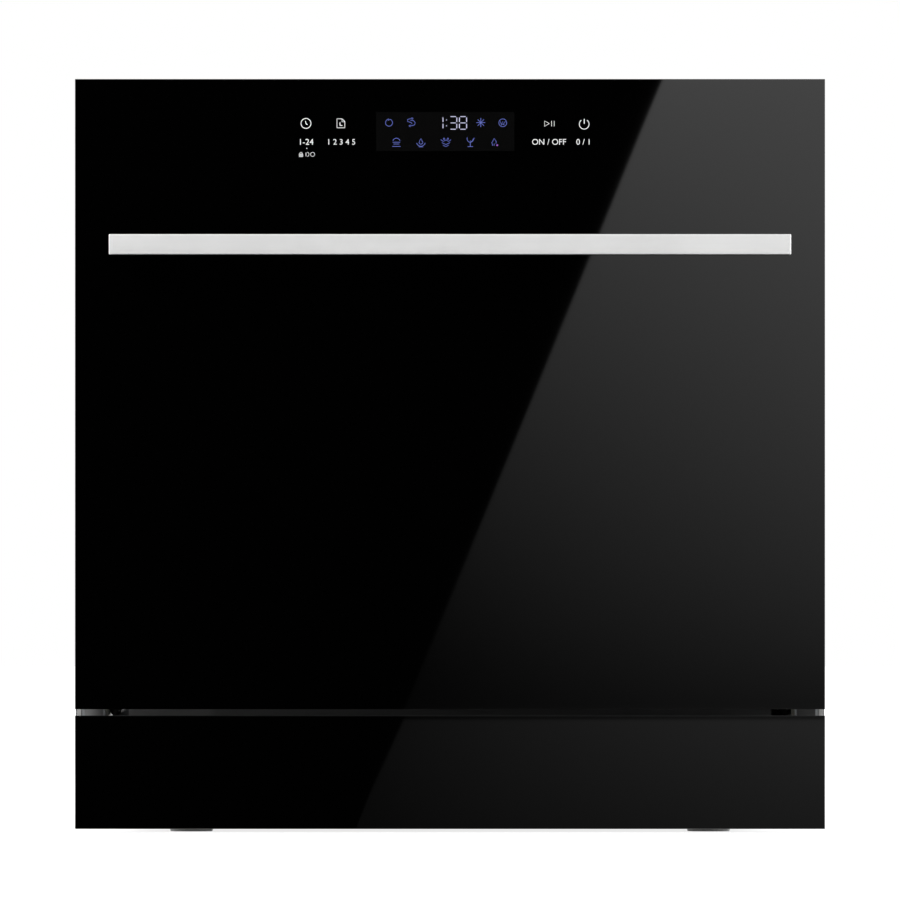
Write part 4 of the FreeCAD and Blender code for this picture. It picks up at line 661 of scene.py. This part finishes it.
# %% [markdown]
# ## Wheels
#
# Each wheel is one moulding. A cylinder is the start. Its outer face is inset and pushed in to make
# the recess, and the middle is drawn out again as the hub. The edges of the tread are rounded last.

# %% Wheel
def wheel_shape(centre, radius, width, rim, recess, hub, axle):
    """A right-hand wheel in millimetres, from centre on its inner face out along +X."""
    obj = disc(centre, X, radius, width, 48)
    edit(obj)
    pick("FACE", facing(X))
    for border, depth in ((rim, -recess), (radius - rim - hub, recess), (hub - axle, recess * -0.7)):
        inset(border)
        draw_out(mm(depth, 0, 0))

    def outer(edge, share):
        return all((v.co - centre).yz.length > radius * share * MM for v in edge.verts)

    pick("EDGE", lambda edge: outer(edge, 0.99) and square_to(X)(edge))
    round_off(1.0)
    pick("EDGE", lambda edge: not outer(edge, 0.9) and sharp(edge))
    round_off(0.4, 2)
    done()
    return obj


low, high, middle = box_of("wheel_front_right")
back = (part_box("wheel_rear_right")[0] - low).y
first = wheel_shape(Vector((low.x, middle.y, middle.z)), 17.5, 11.0, 3.5, 6.0, 6.5, 3.06)
wheels = {"front_right": first, "rear_right": copied(first, (0, back, 0)),
          "front_left": copied(first, mirror_x=True), "rear_left": copied(first, (0, back, 0), True)}
for place, obj in wheels.items():
    piece(obj, "roller_" + place, "wheel_" + place, "wheel_plastic", ["wheel_" + place])
print("wheels", len(wheels), "each of", len(first.data.polygons), "faces")

# %% [markdown]
# ## Spray arms
#
# A spray arm is a hollow moulding, crowned on top, that narrows towards its tips and bends back a
# little. A cube is divided along its length, each cross-section is narrowed and shifted, and a wide
# bevel crowns it. The hub and the raised jets are joined to it.

# %% Spray arms
ARM_HALF, ARM_TALL, SWEEP, CUTS, JET_STEPS = 22.0, 9.0, 17.0, 12, (62.0, 110.0, 158.0)


def arm_beam(centre, reach):
    """The narrowed and swept beam of an arm, with its underside at centre."""
    obj = block(centre + mm(-reach, -ARM_HALF, 0), centre + mm(reach, ARM_HALF, ARM_TALL))
    edit(obj)
    pick("EDGE", running(X))
    bpy.ops.mesh.subdivide(number_cuts=CUTS - 1)
    for cut in spaced(-1.0, 1.0, CUTS + 1):
        aim = centre.x + cut * reach * MM
        pick("VERT", lambda v: abs(v.co.x - aim) < 10 * TINY)
        narrow = (1 - abs(cut) * 0.32) * (0.72 if abs(cut) > 0.99 else 1.0)
        bpy.ops.transform.resize(value=(1, narrow, 1 - 0.12 * abs(cut)),
                                 center_override=(aim, centre.y, centre.z))
        bpy.ops.transform.translate(value=mm(0, -SWEEP * cut, 0))
    done()
    return modified(obj, "BEVEL", width=3.4 * MM, segments=4, limit_method="ANGLE",
                    angle_limit=math.radians(50))


def jet_places(centre, reach, height):
    """Three places on each side of the hub, on the swept middle line."""
    return [centre + mm(way * step, -SWEEP * way * step / reach, height)
            for way in (-1, 1) for step in JET_STEPS]


slot_black = finish("slot shadow", 0.004, 0.8, bump=0.0)
for name, reach in (("lower_spray_arm", 190.0), ("upper_spray_arm", 176.0)):
    low, high, middle = box_of(name)
    hub = Vector((middle.x, middle.y, low.z))
    shell = [arm_beam(hub, reach), disc(hub, Z, 25.0, 13.0, 48, 2.0, 3)]
    shell += [disc(place, Z, 5.2, 1.2, 24, 0.5) for place in jet_places(hub, reach, 8.4)]
    piece(joined(shell), name + "_shell", name, "arm_plastic", [name], 40)
    slits = [block(place + mm(-0.9, -3.6, 0), place + mm(0.9, 3.6, 0.5), 0.15, 1)
             for place in jet_places(hub, reach, 9.2)]
    piece(joined(slits), name + "_jets", name, "arm_plastic", material=slot_black)
print("jets on each arm", 2 * len(JET_STEPS))

# %% [markdown]
# ## Caps and filter
#
# The caps for salt and rinse aid turn by a raised grip. Each is a cylinder with rounded rims, notches
# round its edge for the fingers, and a bar across it. The filter is a cup of fine steel mesh.

# %% Salt cap, rinse-aid cap and filter cup
RIBS, RIB_RADIUS = 24, 0.9


def turning_cap(centre, axis, side, radius, thick, grip_half, grip_wide, grip_tall):
    """A round cap in millimetres, with a ribbed edge and a grip bar along side across its face."""
    parts = [disc(centre, axis, radius, thick, 48, 0.9, 3)]
    for i in range(RIBS):
        way = Matrix.Rotation(math.tau * i / RIBS, 3, axis) @ side
        foot = centre + (way * (radius - 0.5) + axis * 0.6) * MM
        parts.append(disc(foot, axis, RIB_RADIUS, thick - 2 * RIB_RADIUS, 8))
    corner = (side * grip_half + side.cross(axis) * grip_wide) * MM
    base = centre + axis * (thick - 0.6) * MM
    parts.append(block(base - corner, base + corner + axis * (grip_tall + 0.6) * MM, 0.8, 3))
    return parts


low, high, middle = box_of("salt_cap")
salt = turning_cap(Vector((middle.x, middle.y, high.z - 10.0 * MM)), Z, X, 30.6, 6.0, 21.7, 3.0, 4.0)
salt.append(disc((middle.x, middle.y, low.z), Z, 20.0, (high.z - low.z) / MM - 9.0, 40, 0.6))
piece(joined(salt), "salt_lid", "salt_cap", "cap_plastic", ["salt_cap"])

low, high, middle = box_of("rinse_cap")
rinse = turning_cap(Vector((middle.x, high.y - 5.2 * MM, middle.z)), Y, Z, 17.6, 3.2, 12.0, 2.5, 2.0)
rinse.append(disc((middle.x, low.y, middle.z), Y, 12.0, (high.y - low.y) / MM - 4.0, 32, 0.5))
piece(joined(rinse), "rinse_lid", "rinse_cap", "cap_plastic", ["rinse_cap"])

# %% Filter cup
CUP_RADIUS, CUP_WALL, SEAT_DOWN, RING_RADIUS = 42.0, 1.6, 10.0, 44.0
low, high, middle = box_of("filter_cup")
seat = Vector((middle.x, middle.y, high.z - SEAT_DOWN * MM))
cup = disc((middle.x, middle.y, low.z), Z, CUP_RADIUS, (seat.z - low.z) / MM, 64)
edit(cup)
pick("FACE", facing(Z))
inset(CUP_WALL)
draw_out(Z * (low.z + CUP_WALL * MM - seat.z))
done()
ring = disc(seat, Z, RING_RADIUS, 2.0, 64)
edit(ring)
pick("FACE", facing(Z))
inset(4.0)
draw_out(mm(0, 0, -1.4))
pick("EDGE", sharp)
round_off(0.35, 2)
done()
grip = [block(seat + mm(-41.5, -4.5, 7.0), seat + mm(41.5, 4.5, SEAT_DOWN), 1.2, 3)]
grip += [block(seat + mm(x - 1.5, -4.5, 0.5), seat + mm(x + 1.5, 4.5, 9.0), 0.8) for x in (-40.0, 40.0)]
piece(cup, "filter_mesh", "filter_cup", "filter_steel")
piece(joined([ring] + grip), "filter_grip", "filter_cup", "cap_plastic", ["filter_cup"])
print("filter cup", round((seat.z - low.z) / MM, 1), "mm deep")

# %% [markdown]
# ## Feet and springs
#
# A foot is a moulded pad under a six-sided nut, on a threaded stud. The thread is a short round bar
# wound by the Screw modifier, and so are the balance springs beside the tub.

# %% Threads, feet and springs
def wound(centre, axis, coil, thick, turns, length, steps):
    """A helix in millimetres from centre along Y or Z: a small circle, swept by Screw."""
    fresh()
    bpy.ops.mesh.primitive_circle_add(vertices=6, radius=thick * MM, fill_type="NGON", location=X * coil * MM,
                                      rotation=axis.cross(X).to_track_quat("Z", "Y").to_euler())
    obj = placed(bpy.context.object)
    modified(obj, "SCREW", axis="Z" if axis.z else "Y", angle=math.tau * turns, screw_offset=length * MM,
             iterations=1, steps=steps * turns, render_steps=steps * turns, use_normal_calculate=True)
    obj.data.transform(Matrix.Translation(centre))
    edit(obj)
    outward()
    done()
    return obj

# %% Feet
PAD_RADIUS, PAD_TALL, PAD_SLOPE, PAD_ROUND = 17.0, 9.0, 4.5, 0.8
STUD_RADIUS, STUD_FOOT, STUD_TALL, THREAD_TURNS = 4.3, 14.6, 30.4, 17


def foot(place):
    """The pad and nut of a foot that stands at place on the floor."""
    pad = disc(place, Z, PAD_RADIUS, PAD_TALL, 48)
    edit(pad)
    pick("FACE", facing(Z))
    inset(8.0)
    pick("EDGE", lambda edge: all(v.co.z > (PAD_TALL - 0.1) * MM and
                                  (v.co - place).xy.length > (PAD_RADIUS - 1) * MM for v in edge.verts))
    bpy.ops.transform.translate(value=mm(0, 0, -PAD_SLOPE))
    round_off(PAD_ROUND)
    pick("EDGE", lambda edge: all(v.co.z < 0.1 * MM for v in edge.verts))
    round_off(PAD_ROUND)
    done()
    return [pad, disc(place + mm(0, 0, 8.6), Z, 9.0, 6.4, 6, 0.6)]


def stud(place):
    """The steel stud of a foot, with its thread."""
    core = disc(place + mm(0, 0, STUD_FOOT), Z, STUD_RADIUS, STUD_TALL, 24, 0.4)
    return [core, wound(place + mm(0, 0, 16.0), Z, STUD_RADIUS, 0.55, THREAD_TURNS, 27.5, 16)]


foot_names = sorted(name for name in cad_nodes if name.startswith("foot_"))
places = {name: box_of(name)[2].xy.to_3d() for name in foot_names}
first = places[foot_names[0]]
pads, studs = joined(foot(first)), joined(stud(first))
for name, place in places.items():
    shift = place - first
    pad, screw = (copied(pads, shift), copied(studs, shift)) if shift.length else (pads, studs)
    piece(pad, name + "_pad", name, "foot_plastic", [name])
    piece(screw, name + "_stud", name, "screw_steel")

# %% Balance springs
SPRING_Z = 97.0
springs = []
for x in (-266.2, 266.2):
    springs.append(wound(mm(x, -157.0, SPRING_Z), Y, 4.2, 0.75, 100, 197.0, 10))
    for y, length in ((-164.8, 9.0), (39.5, 11.5)):
        springs.append(disc(mm(x, y, SPRING_Z), Y, 1.2, length, 10, 0.3))
piece(joined(springs), "wound_springs", "cabinet", "spring_steel", ["balance_springs"], 50)
print("feet", len(places), "and springs", len(springs) // 3)

# %% [markdown]
# ## Softer copies of the plain mouldings
#
# No moulded or pressed part has a razor edge. Each CAD node that is still plain is copied, and the
# copy's loose triangles are merged and dissolved into whole faces. Then its sharp edges are bevelled
# and its rounds are shaded smooth. The copy stands for the node, which itself is left alone.

# %% Softened copies
bodies_of = {name: body for body, names in frame["record"]["behaviour"]["bodies"].items() for name in names}


def softened(name, width, angle):
    """A merged copy of a CAD node; edges sharper than angle are broken by width millimetres."""
    obj = copied(cad_nodes[name])
    edit(obj, True)
    bpy.ops.mesh.remove_doubles(threshold=5 * TINY)
    bpy.ops.mesh.dissolve_limited(angle_limit=math.radians(0.5))
    if width:
        pick("EDGE", lambda edge: edge.is_manifold and edge.calc_face_angle(0) > math.radians(angle))
        bpy.ops.mesh.bevel(offset=width * MM, segments=2, affect="EDGES", clamp_overlap=True)
    done()
    piece(obj, name + "_soft", bodies_of[name], slots_of[name], [name], angle)

# %% Which nodes are softened, and by how many millimetres
FLAT_FORMS = {
    "handle_posts": 0.8, "cutlery_basket": 0.5, "dispenser_body": 0.4, "dispenser_lid": 0.5,
    "control_housing": 0.5, "wheel_carriers": 0.6, "upper_glides": 0.8, "rail_guides": 0.8,
    "air_break": 1.6, "base_tray": 0.8, "water_softener": 1.4, "door_lock": 0.6, "cup_shelf": 0.5,
    "upper_feed_tube": 1.4, "feed_duct": 1.6, "lower_door_seal": 0.6, "hinge_arms": 0.3,
    "hinge_brackets": 0.3, "door_strike": 0.4, "rear_panel": 1.6, "filter_plate": 0.3,
    "door_liner": 0.25, "upper_rails": 0.3, "tub": 0, "door_frame": 0, "kick_bracket": 0.25,
}
ROUND_FORMS = {"wash_pump": 1.0, "drain_pump": 1.0, "inlet_valve": 0.6, "cable_gland": 0.4,
               "spray_arm_post": 0.8, "sump": 0.8, "tub_seal": 1.2}
for forms, angle in ((FLAT_FORMS, 35), (ROUND_FORMS, 50)):
    for name, width in forms.items():
        softened(name, width, angle)
print("softened", len(FLAT_FORMS) + len(ROUND_FORMS), "nodes")

# %% [markdown]
# ## Edging and sill strip
#
# The casing's front flanges are finished where they show through the gap under the door, which lies
# in shade. A pale plastic profile runs up the outer edge of each, its pale tone a painted highlight,
# with a thin rubber lip outside it, and a dark felt strip beside it that is painted shade. One more
# felt strip of painted shade closes the view above the base tray, and painted light and shade fade
# along the felt from left to right.

# %% Edge profiles with a painted highlight, rubber lips and felt strips of painted shade
FLANGE_Y, EDGING_FOOT, EDGING_TOP = -182.9, 24.0, 593.0


def upright(low_x, high_x, front, round_by):
    """A long bar up the right front flange, with its long edges rounded and its ends broken."""
    bar = block(mm(low_x, front, EDGING_FOOT), mm(high_x, FLANGE_Y, EDGING_TOP))
    edit(bar)
    pick("EDGE", running(Z))
    round_off(round_by)
    pick("EDGE", square_to(Z))
    round_off(0.1, 1)
    done()
    return bar

# %% Strips in their places
# Painted light and shade along the felt, left to right: brightest near the left end, darkest at the right.
GAP_PAINTED_LIGHT = ((0.02, 0.2), (0.05, 0.05), (0.07, 0.5), (0.18, 0.5), (0.19, 0.36), (0.5, 0.14), (0.93, 0.14),
             (0.95, 0.04))
# The profile's pale tone is a painted highlight for the light caught on the flange edges.
highlight_profile = finish("painted highlight edge profile", (0.45, 0.45, 0.44), 0.4, grain=(900.0, 0.2), mottle=0.05)
# The felt is painted shade: a dark strip in the shaded gap, with the painted levels laid along x.
shade_felt = finish("grey felt", 0.3, 0.95, grain=(2500.0, 1.0), mottle=0.2, bump=0.8)
tree = shade_felt.node_tree
sideways = node(tree, "SeparateXYZ", [(0, on_object(tree))]).outputs[0]
painted_fade = ramp(tree, maths(tree, "MULTIPLY_ADD", sideways, 1 / 0.6, 0.5), GAP_PAINTED_LIGHT)
tree.links.new(painted_fade, tree.nodes["Principled BSDF"].inputs["Base Color"])
for name, material, sizes in (("edge_lips", finishes["seal_rubber"], (296.4, 297.4, -184.6, 0.3)),
                              ("edge_profiles", highlight_profile, (293.1, 296.3, -184.4, 0.5)),
                              ("edge_felts", shade_felt, (276.0, 290.6, -183.9, 0.1))):
    bar = upright(*sizes)
    piece(joined([bar, copied(bar, mirror_x=True)]), name, "cabinet", "seal_rubber", material=material)
# The sill strip is the same felt: painted shade above the base tray, with the painted light fading along it.
strip = block(mm(-255.4, -183.5, 88.0), mm(255.4, -182.75, 112.0), 0.3)
piece(strip, "sill_shade_strip", "cabinet", "seal_rubber", material=shade_felt)
print("edging", EDGING_TOP - EDGING_FOOT, "mm tall")

# %% [markdown]
# ## Marks on the control strip
#
# The signs for the touch buttons are printed white, and the display behind the smoked window
# lights up in blue. Each sign is drawn with a pen line: a curve with a round bevel, made a mesh and
# pressed flat on the glass. Places are given in steps of the front's own grid, 0.7933 mm wide,
# counted from its left upper corner, and one helper turns them into metres on the glass.

# %% A pen for the glass
GRID, FRONT_STEPS = 0.7933 * MM, 750
PRINTED, LIT = 0.04, 0.06
glass_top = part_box("door_glass")[1].z


def spot(across, down, lift=0.0):
    """A point lift millimetres off the glass, in grid steps from the front's left upper corner."""
    return Vector(((across - FRONT_STEPS / 2) * GRID, front_y - lift * MM, glass_top - down * GRID))


def arc(across, down, radius, first=0.0, last=360.0, count=24):
    """Points on a circle or part of one, in grid steps; angles run clockwise from the top."""
    steps = count if last - first >= 360 else count - 1
    angles = [math.radians(first + (last - first) * i / steps) for i in range(count)]
    return [(across + radius * math.sin(a), down - radius * math.cos(a)) for a in angles]


def pen(name, width, lift, lines, rings=()):
    """One flat mesh from many pen lines, each a list of points; rings are closed lines."""
    curve = bpy.data.curves.new(name, "CURVE")
    curve.dimensions = "3D"
    curve.bevel_depth = width * GRID / 2
    curve.bevel_resolution = 1
    curve.use_fill_caps = True
    for points, closed in [(line, False) for line in lines] + [(ring, True) for ring in rings]:
        spline = curve.splines.new("POLY")
        spline.points.add(len(points) - 1)
        for point, (across, down) in zip(spline.points, points):
            point.co = (*spot(across, down, lift), 1)
        spline.use_cyclic_u = closed
    obj = bpy.data.objects.new(name, curve)
    bpy.context.scene.collection.objects.link(obj)
    take(obj)
    bpy.ops.object.convert(target="MESH")
    obj = bpy.context.object
    edit(obj, True)
    bpy.ops.transform.resize(value=(1, 0.1, 1), center_override=(0, front_y - lift * MM, 0))
    outward()
    done()
    return obj


def written(text, across, down, size):
    """A short number or word, centred on a point of the grid, as a flat mesh on the glass."""
    fresh()
    bpy.ops.object.text_add(location=spot(across, down, PRINTED), rotation=(math.pi / 2, 0, 0))
    obj = bpy.context.object
    obj.data.body = text
    obj.data.align_x, obj.data.align_y = "CENTER", "CENTER"
    obj.data.size = size * GRID
    obj.data.extrude = 0.03 * MM
    obj.data.offset = 0.002 * size * GRID
    bpy.ops.object.convert(target="MESH")
    return placed(bpy.context.object)

# %% [markdown]
# The white signs are a clock, a sheet of paper, start and pause, and the power sign, with a small
# lock. Plain numbers and ON and OFF stand under them.

# %% Printed white signs
signs = pen("signs", 0.88, PRINTED, [
    [(230.5, 42.0), (231.0, 44.8), (232.6, 45.6)],
    [(265.0, 43.4), (265.0, 46.6), (267.4, 46.6)],
    arc(509.2, 45.2, 4.9, 35, 325, 20),
    [(509.2, 39.8), (509.2, 44.8)],
], [
    arc(231.0, 44.4, 5.0),
    [(262.0, 39.8), (267.0, 39.8), (269.8, 42.6), (269.8, 48.8), (262.0, 48.8)],
    [(469.6, 41.9), (469.6, 47.4), (474.2, 44.6)],
])
small_signs = pen("small_signs", 0.5, PRINTED, [
    [(267.0, 40.0), (267.0, 42.8), (269.8, 42.8)],
    [(476.6, 41.9), (476.6, 47.4)],
    [(479.2, 41.9), (479.2, 47.4)],
    *[[(223.9, y), (228.1, y)] for y in (74.9, 75.6, 76.3, 77.0, 77.6)],
    arc(226.0, 74.6, 1.3, -90, 90, 8),
    [(231.0, 73.4), (231.0, 77.4)],
    arc(231.6, 75.4, 2.4, 20, 160, 9),
], [arc(237.6, 75.4, 2.1, count=14), arc(231.8, 69.3, 0.35, count=8)])
printed = [signs, small_signs]
for text, across, down, size in (("1-24", 231.0, 63.2, 8.4), ("1 2 3 4 5", 266.2, 63.2, 8.0),
                                 ("ON / OFF", 474.0, 63.2, 8.2), ("0 / 1", 508.6, 63.2, 8.2)):
    printed.append(written(text, across, down, size))
white_ink = finish("white ink", 0.8, 0.4, grain=(1500.0, 0.1), mottle=0.03, bump=0.0)
piece(joined(printed), "printed_signs", "door", "black_glass", material=white_ink)
print("printed signs and words", len(printed))

# %% [markdown]
# ## The display
#
# Behind the glass a smoked window covers the lamps. It is a shade lighter than the glass round
# it. Nine small programme signs glow blue, and the time stands in seven-segment figures.

# %% Display window and lights
def glow(name, colour):
    """A material that gives out light, on a dark ground."""
    material, tree, shader = new_material(name, Base_Color=(0.01, 0.01, 0.012, 1), Roughness=0.3,
                                          Emission_Strength=1.0)
    spots = maths(tree, "MULTIPLY", noise(tree, on_object(tree), 900.0), 0.3)
    tone = mix(tree, spots, (*colour, 1), (*[c * 0.7 for c in colour], 1))
    tree.links.new(tone, shader.inputs["Emission Color"])
    return material


def lit(obj, name, colour):
    """Puts lit signs on the door, in a lamp of their own colour."""
    piece(obj, name, "door", "black_glass", material=glow(name + " lamp", colour))


def figure(left, segments, wide=7.2, top=37.6, tall=12.6, gap=0.9):
    """Seven-segment figure as pen lines: a top, b and c right, d foot, e and f left, g middle."""
    x0, x1, y0, y1, y2 = left, left + wide, top, top + tall / 2, top + tall
    ends = {"a": (x0, y0, x1, y0), "b": (x1, y0, x1, y1), "c": (x1, y1, x1, y2), "d": (x0, y2, x1, y2),
            "e": (x0, y1, x0, y2), "f": (x0, y0, x0, y1), "g": (x0, y1, x1, y1)}
    made = []
    for ax, ay, bx, by in (ends[key] for key in segments):
        dx, dy = (gap, 0) if ay == by else (0, gap)
        made.append([(ax + dx, ay + dy), (bx - dx, by - dy)])
    return made

# %% The lit display
smoked = finish("smoked window", 0.0026, 0.05, sheen_range=0.02, bump=0.0)
window = block(spot(301, 72, 0.02), spot(439.5, 33, -0.4))
piece(window, "display_window", "door", "black_glass", material=smoked)
RAYS = [(4.4 * math.sin(a), 4.4 * math.cos(a)) for a in (0, math.pi / 4, math.pi / 2, -math.pi / 4)]
blue_signs = pen("programme", 0.55, LIT, [
    arc(314.0, 43.7, 3.5, 10, 350), [(313.0, 39.6), (314.4, 40.6), (313.2, 41.6)],
    [(336.8, 39.4), (332.6, 40.4), (332.4, 42.4), (336.2, 43.6), (337.0, 45.0)],
    [(335.2, 47.0), (339.4, 46.0), (340.2, 43.8), (338.6, 41.6), (335.4, 41.2)],
    [(336.6, 38.6), (338.2, 39.4), (336.8, 40.4)], [(335.4, 45.8), (333.8, 46.9), (335.4, 47.9)],
    *[[(405.8 + dx, 43.6 + dy), (405.8 - dx, 43.6 - dy)] for dx, dy in RAYS],
    [(425.0, 42.4), (426.4, 45.2), (427.6, 42.6), (428.8, 45.2), (430.4, 42.2)],
    [(426.0, 46.2), (427.6, 44.8), (429.4, 46.2)],
    arc(321.4, 63.0, 3.8, -70, 70, 10), [(317.6, 63.2), (325.2, 63.2)],
    [(318.6, 65.0), (324.2, 65.0)], [(317.2, 67.4), (325.6, 67.4)],
    [(344.2, 63.0), (345.9, 59.4), (347.6, 63.0)], arc(345.9, 63.2, 1.9, 90, 270, 10),
    arc(345.9, 62.8, 4.4, 105, 255, 14), [(343.6, 67.8), (348.2, 67.8)],
    [(365.8, 60.6), (368.2, 62.4), (370.9, 60.9), (373.6, 62.4), (376.0, 60.6)],
    [(366.8, 63.6), (370.9, 65.6), (375.0, 63.6)], [(368.0, 66.2), (370.9, 67.6), (373.8, 66.2)],
    arc(395.3, 60.0, 3.2, 85, 275, 12), [(392.1, 59.8), (392.1, 58.6)],
    [(395.0, 61.6), (396.4, 62.8), (399.4, 58.8)],
    [(395.3, 63.4), (395.3, 67.4)], [(392.6, 67.6), (398.0, 67.6)],
    [(417.6, 66.8), (416.9, 63.6), (419.2, 59.4), (421.2, 62.6), (421.0, 64.6)],
    [(419.0, 66.8), (419.2, 64.6)],
], [arc(427.8, 43.8, 3.9), arc(369.0, 59.8, 0.7, count=8), arc(372.8, 59.8, 0.7, count=8)])
lit(blue_signs, "display_signs", (0.12, 0.155, 0.56))
lit(pen("dot", 1.0, LIT, [], [arc(422.2, 66.2, 0.5, count=10)]), "display_dot", (0.3, 0.09, 0.5))
time_lines = figure(360.8, "bc") + figure(374.6, "abcdg") + figure(384.4, "abcdefg")
time_lines += [[(371.5, 40.6), (371.5, 41.4)], [(371.5, 46.4), (371.5, 47.2)]]
lit(pen("time", 0.92, LIT, time_lines), "display_time", (0.58, 0.57, 0.78))
print("lines in the time", len(time_lines))

# %% [markdown]
# ## Stage, light and camera
#
# The machine stands in a plain white studio. The floor and the world are white to the camera and
# to mirrors, and the lamps stay at a plain level so that each colour renders as it is written. In
# front hangs one large card that only mirrors can see: black on the left, with a slanting pale
# half on the right, as a studio sets it up to show that a black pane is glass.

# %% Camera
FRAME_STEPS, TOP_STEPS, LENS, SENSOR = 900, 79, 1.0, 0.036
camera_distance = FRAME_STEPS * GRID * LENS / SENSOR
camera_z = glass_top - (FRAME_STEPS / 2 - TOP_STEPS) * GRID
camera_data = bpy.data.cameras.new("camera")
camera_data.lens, camera_data.sensor_width = LENS / MM, SENSOR / MM
camera_data.clip_start, camera_data.clip_end = 0.1, 100
camera = bpy.data.objects.new("camera", camera_data)
bpy.context.scene.collection.objects.link(camera)
camera.location = (0, front_y - camera_distance, camera_z)
camera.rotation_euler = (math.pi / 2, 0, 0)
bpy.context.scene.camera = camera
print("camera distance", round(camera_distance, 3))

# %% World, floor and lamps
def seen(tree):
    """1 for the camera and for rays from mirrors and glass, and 0 for the light on the object."""
    rays = node(tree, "LightPath").outputs
    mirrored = maths(tree, "MAXIMUM", rays["Is Glossy Ray"], rays["Is Transmission Ray"])
    return maths(tree, "MAXIMUM", rays["Is Camera Ray"], mirrored)


world = bpy.data.worlds.new("studio")
bpy.context.scene.world = world
world.use_nodes = True
tree = world.node_tree
tree.nodes.clear()
strength = maths(tree, "MULTIPLY_ADD", seen(tree), 0.5, 0.5)
sky = node(tree, "Background", [("Color", (1, 1, 1, 1)), ("Strength", strength)])
tree.links.new(sky.outputs[0], node(tree, "OutputWorld").inputs[0])

fresh()
bpy.ops.mesh.primitive_plane_add(size=30, location=(0, 0, 0))
floor = bpy.context.object
floor.name = "floor"
pale_floor, tree, shader = new_material("pale floor", Base_Color=(0.8, 0.8, 0.8, 1), Roughness=0.9,
                                        Specular_IOR_Level=0.0, Emission_Color=(1, 1, 1, 1))
tree.links.new(maths(tree, "MULTIPLY", seen(tree), 0.8), shader.inputs["Emission Strength"])
floor.data.materials.append(pale_floor)


def lamp(name, place, size, power):
    """A square soft box that looks at the middle of the machine."""
    data = bpy.data.lights.new(name, "AREA")
    data.energy, data.size = power, size
    obj = bpy.data.objects.new(name, data)
    bpy.context.scene.collection.objects.link(obj)
    obj.location = place
    obj.rotation_euler = (mm(0, 0, 300) - Vector(place)).to_track_quat("-Z", "Y").to_euler()


lamp("key", (-2.0, -2.4, 2.4), 1.6, 70)
lamp("fill", (2.6, -1.6, 1.4), 1.6, 28)
lamp("back", (0.6, 2.6, 2.4), 3.0, 26)

# %% The card that the glass mirrors
CARD_SIZE, CARD_DISTANCE = 1.3, 3.0
fresh()
bpy.ops.mesh.primitive_plane_add(size=CARD_SIZE, location=(0, front_y - CARD_DISTANCE, camera_z),
                                 rotation=(math.pi / 2, 0, 0))
card = placed(bpy.context.object)
cloth_y = front_y - CARD_DISTANCE / 2 - 0.02
bpy.ops.mesh.primitive_plane_add(size=CARD_SIZE, location=(0, cloth_y, 0.5 * MM))
cloth = placed(bpy.context.object)
edit(cloth, True)
bpy.ops.transform.resize(value=(1, CARD_DISTANCE / CARD_SIZE, 1), center_override=(0, cloth_y, 0))
done()
card = joined([card, cloth])
card.name = "mirror_card"
print("card", CARD_SIZE, "m wide, in front of the glass by", CARD_DISTANCE, "m")

# %% The light of the card
EDGE_SLOPE, EDGE_START, SOFT_EDGE, FRONT_HALF, GAP_Z = 0.409, -0.0758, 0.4 * MM, 0.2975, 95.5 * MM
ON_PLINTH = (0.0, 0.1, ((0.05, 0.06, 1.0), (0.23, 0.18, 1.0)))
ON_DOOR = (0.1, 0.5, ((0.03, 1.3, 1.65), (0.16, 1.25, 1.0)))


def pane_light(low, tall, sides):
    """Light that rises up a pane, beside the slanting edge and far from it, as foot, rise and power."""
    way = maths(tree, "MAXIMUM", maths(tree, "DIVIDE", maths(tree, "SUBTRACT", height, low), tall), 0.0)
    near, far = [maths(tree, "MULTIPLY_ADD", maths(tree, "POWER", way, power), rise, foot)
                 for foot, rise, power in sides]
    return mix(tree, maths(tree, "MINIMUM", share, 1.0), near, far)


card_light, tree = new_material("mirror card")[:2]
tree.nodes.clear()
x, y, z = node(tree, "SeparateXYZ", [(0, on_object(tree))]).outputs
depth = maths(tree, "ADD", maths(tree, "SUBTRACT", front_y, y), camera_distance)
shrink = maths(tree, "DIVIDE", camera_distance, depth)
across = maths(tree, "MULTIPLY", x, shrink)
height = maths(tree, "MULTIPLY_ADD", maths(tree, "SUBTRACT", z, camera_z), shrink, camera_z)
edge = maths(tree, "MULTIPLY_ADD", height, EDGE_SLOPE, EDGE_START)
past = maths(tree, "SUBTRACT", across, edge)
share = maths(tree, "DIVIDE", past, maths(tree, "SUBTRACT", FRONT_HALF, edge))
above = maths(tree, "GREATER_THAN", height, GAP_Z)
level = mix(tree, above, pane_light(*ON_PLINTH), pane_light(*ON_DOOR))
on = node(tree, "MapRange", [("Value", past), ("From Min", -SOFT_EDGE), ("From Max", SOFT_EDGE)]).outputs[0]
light = node(tree, "Emission", [("Color", level), ("Strength", on)])
tree.links.new(light.outputs[0], node(tree, "OutputMaterial").inputs[0])
card.data.materials.append(card_light)
card.visible_camera = card.visible_diffuse = card.visible_shadow = card.visible_transmission = False
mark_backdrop(floor, card)
bpy.context.scene.view_settings.view_transform = "Standard"

# %% The model's box
low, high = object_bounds()
print("model box", [round(v, 4) for v in low], [round(v, 4) for v in high])
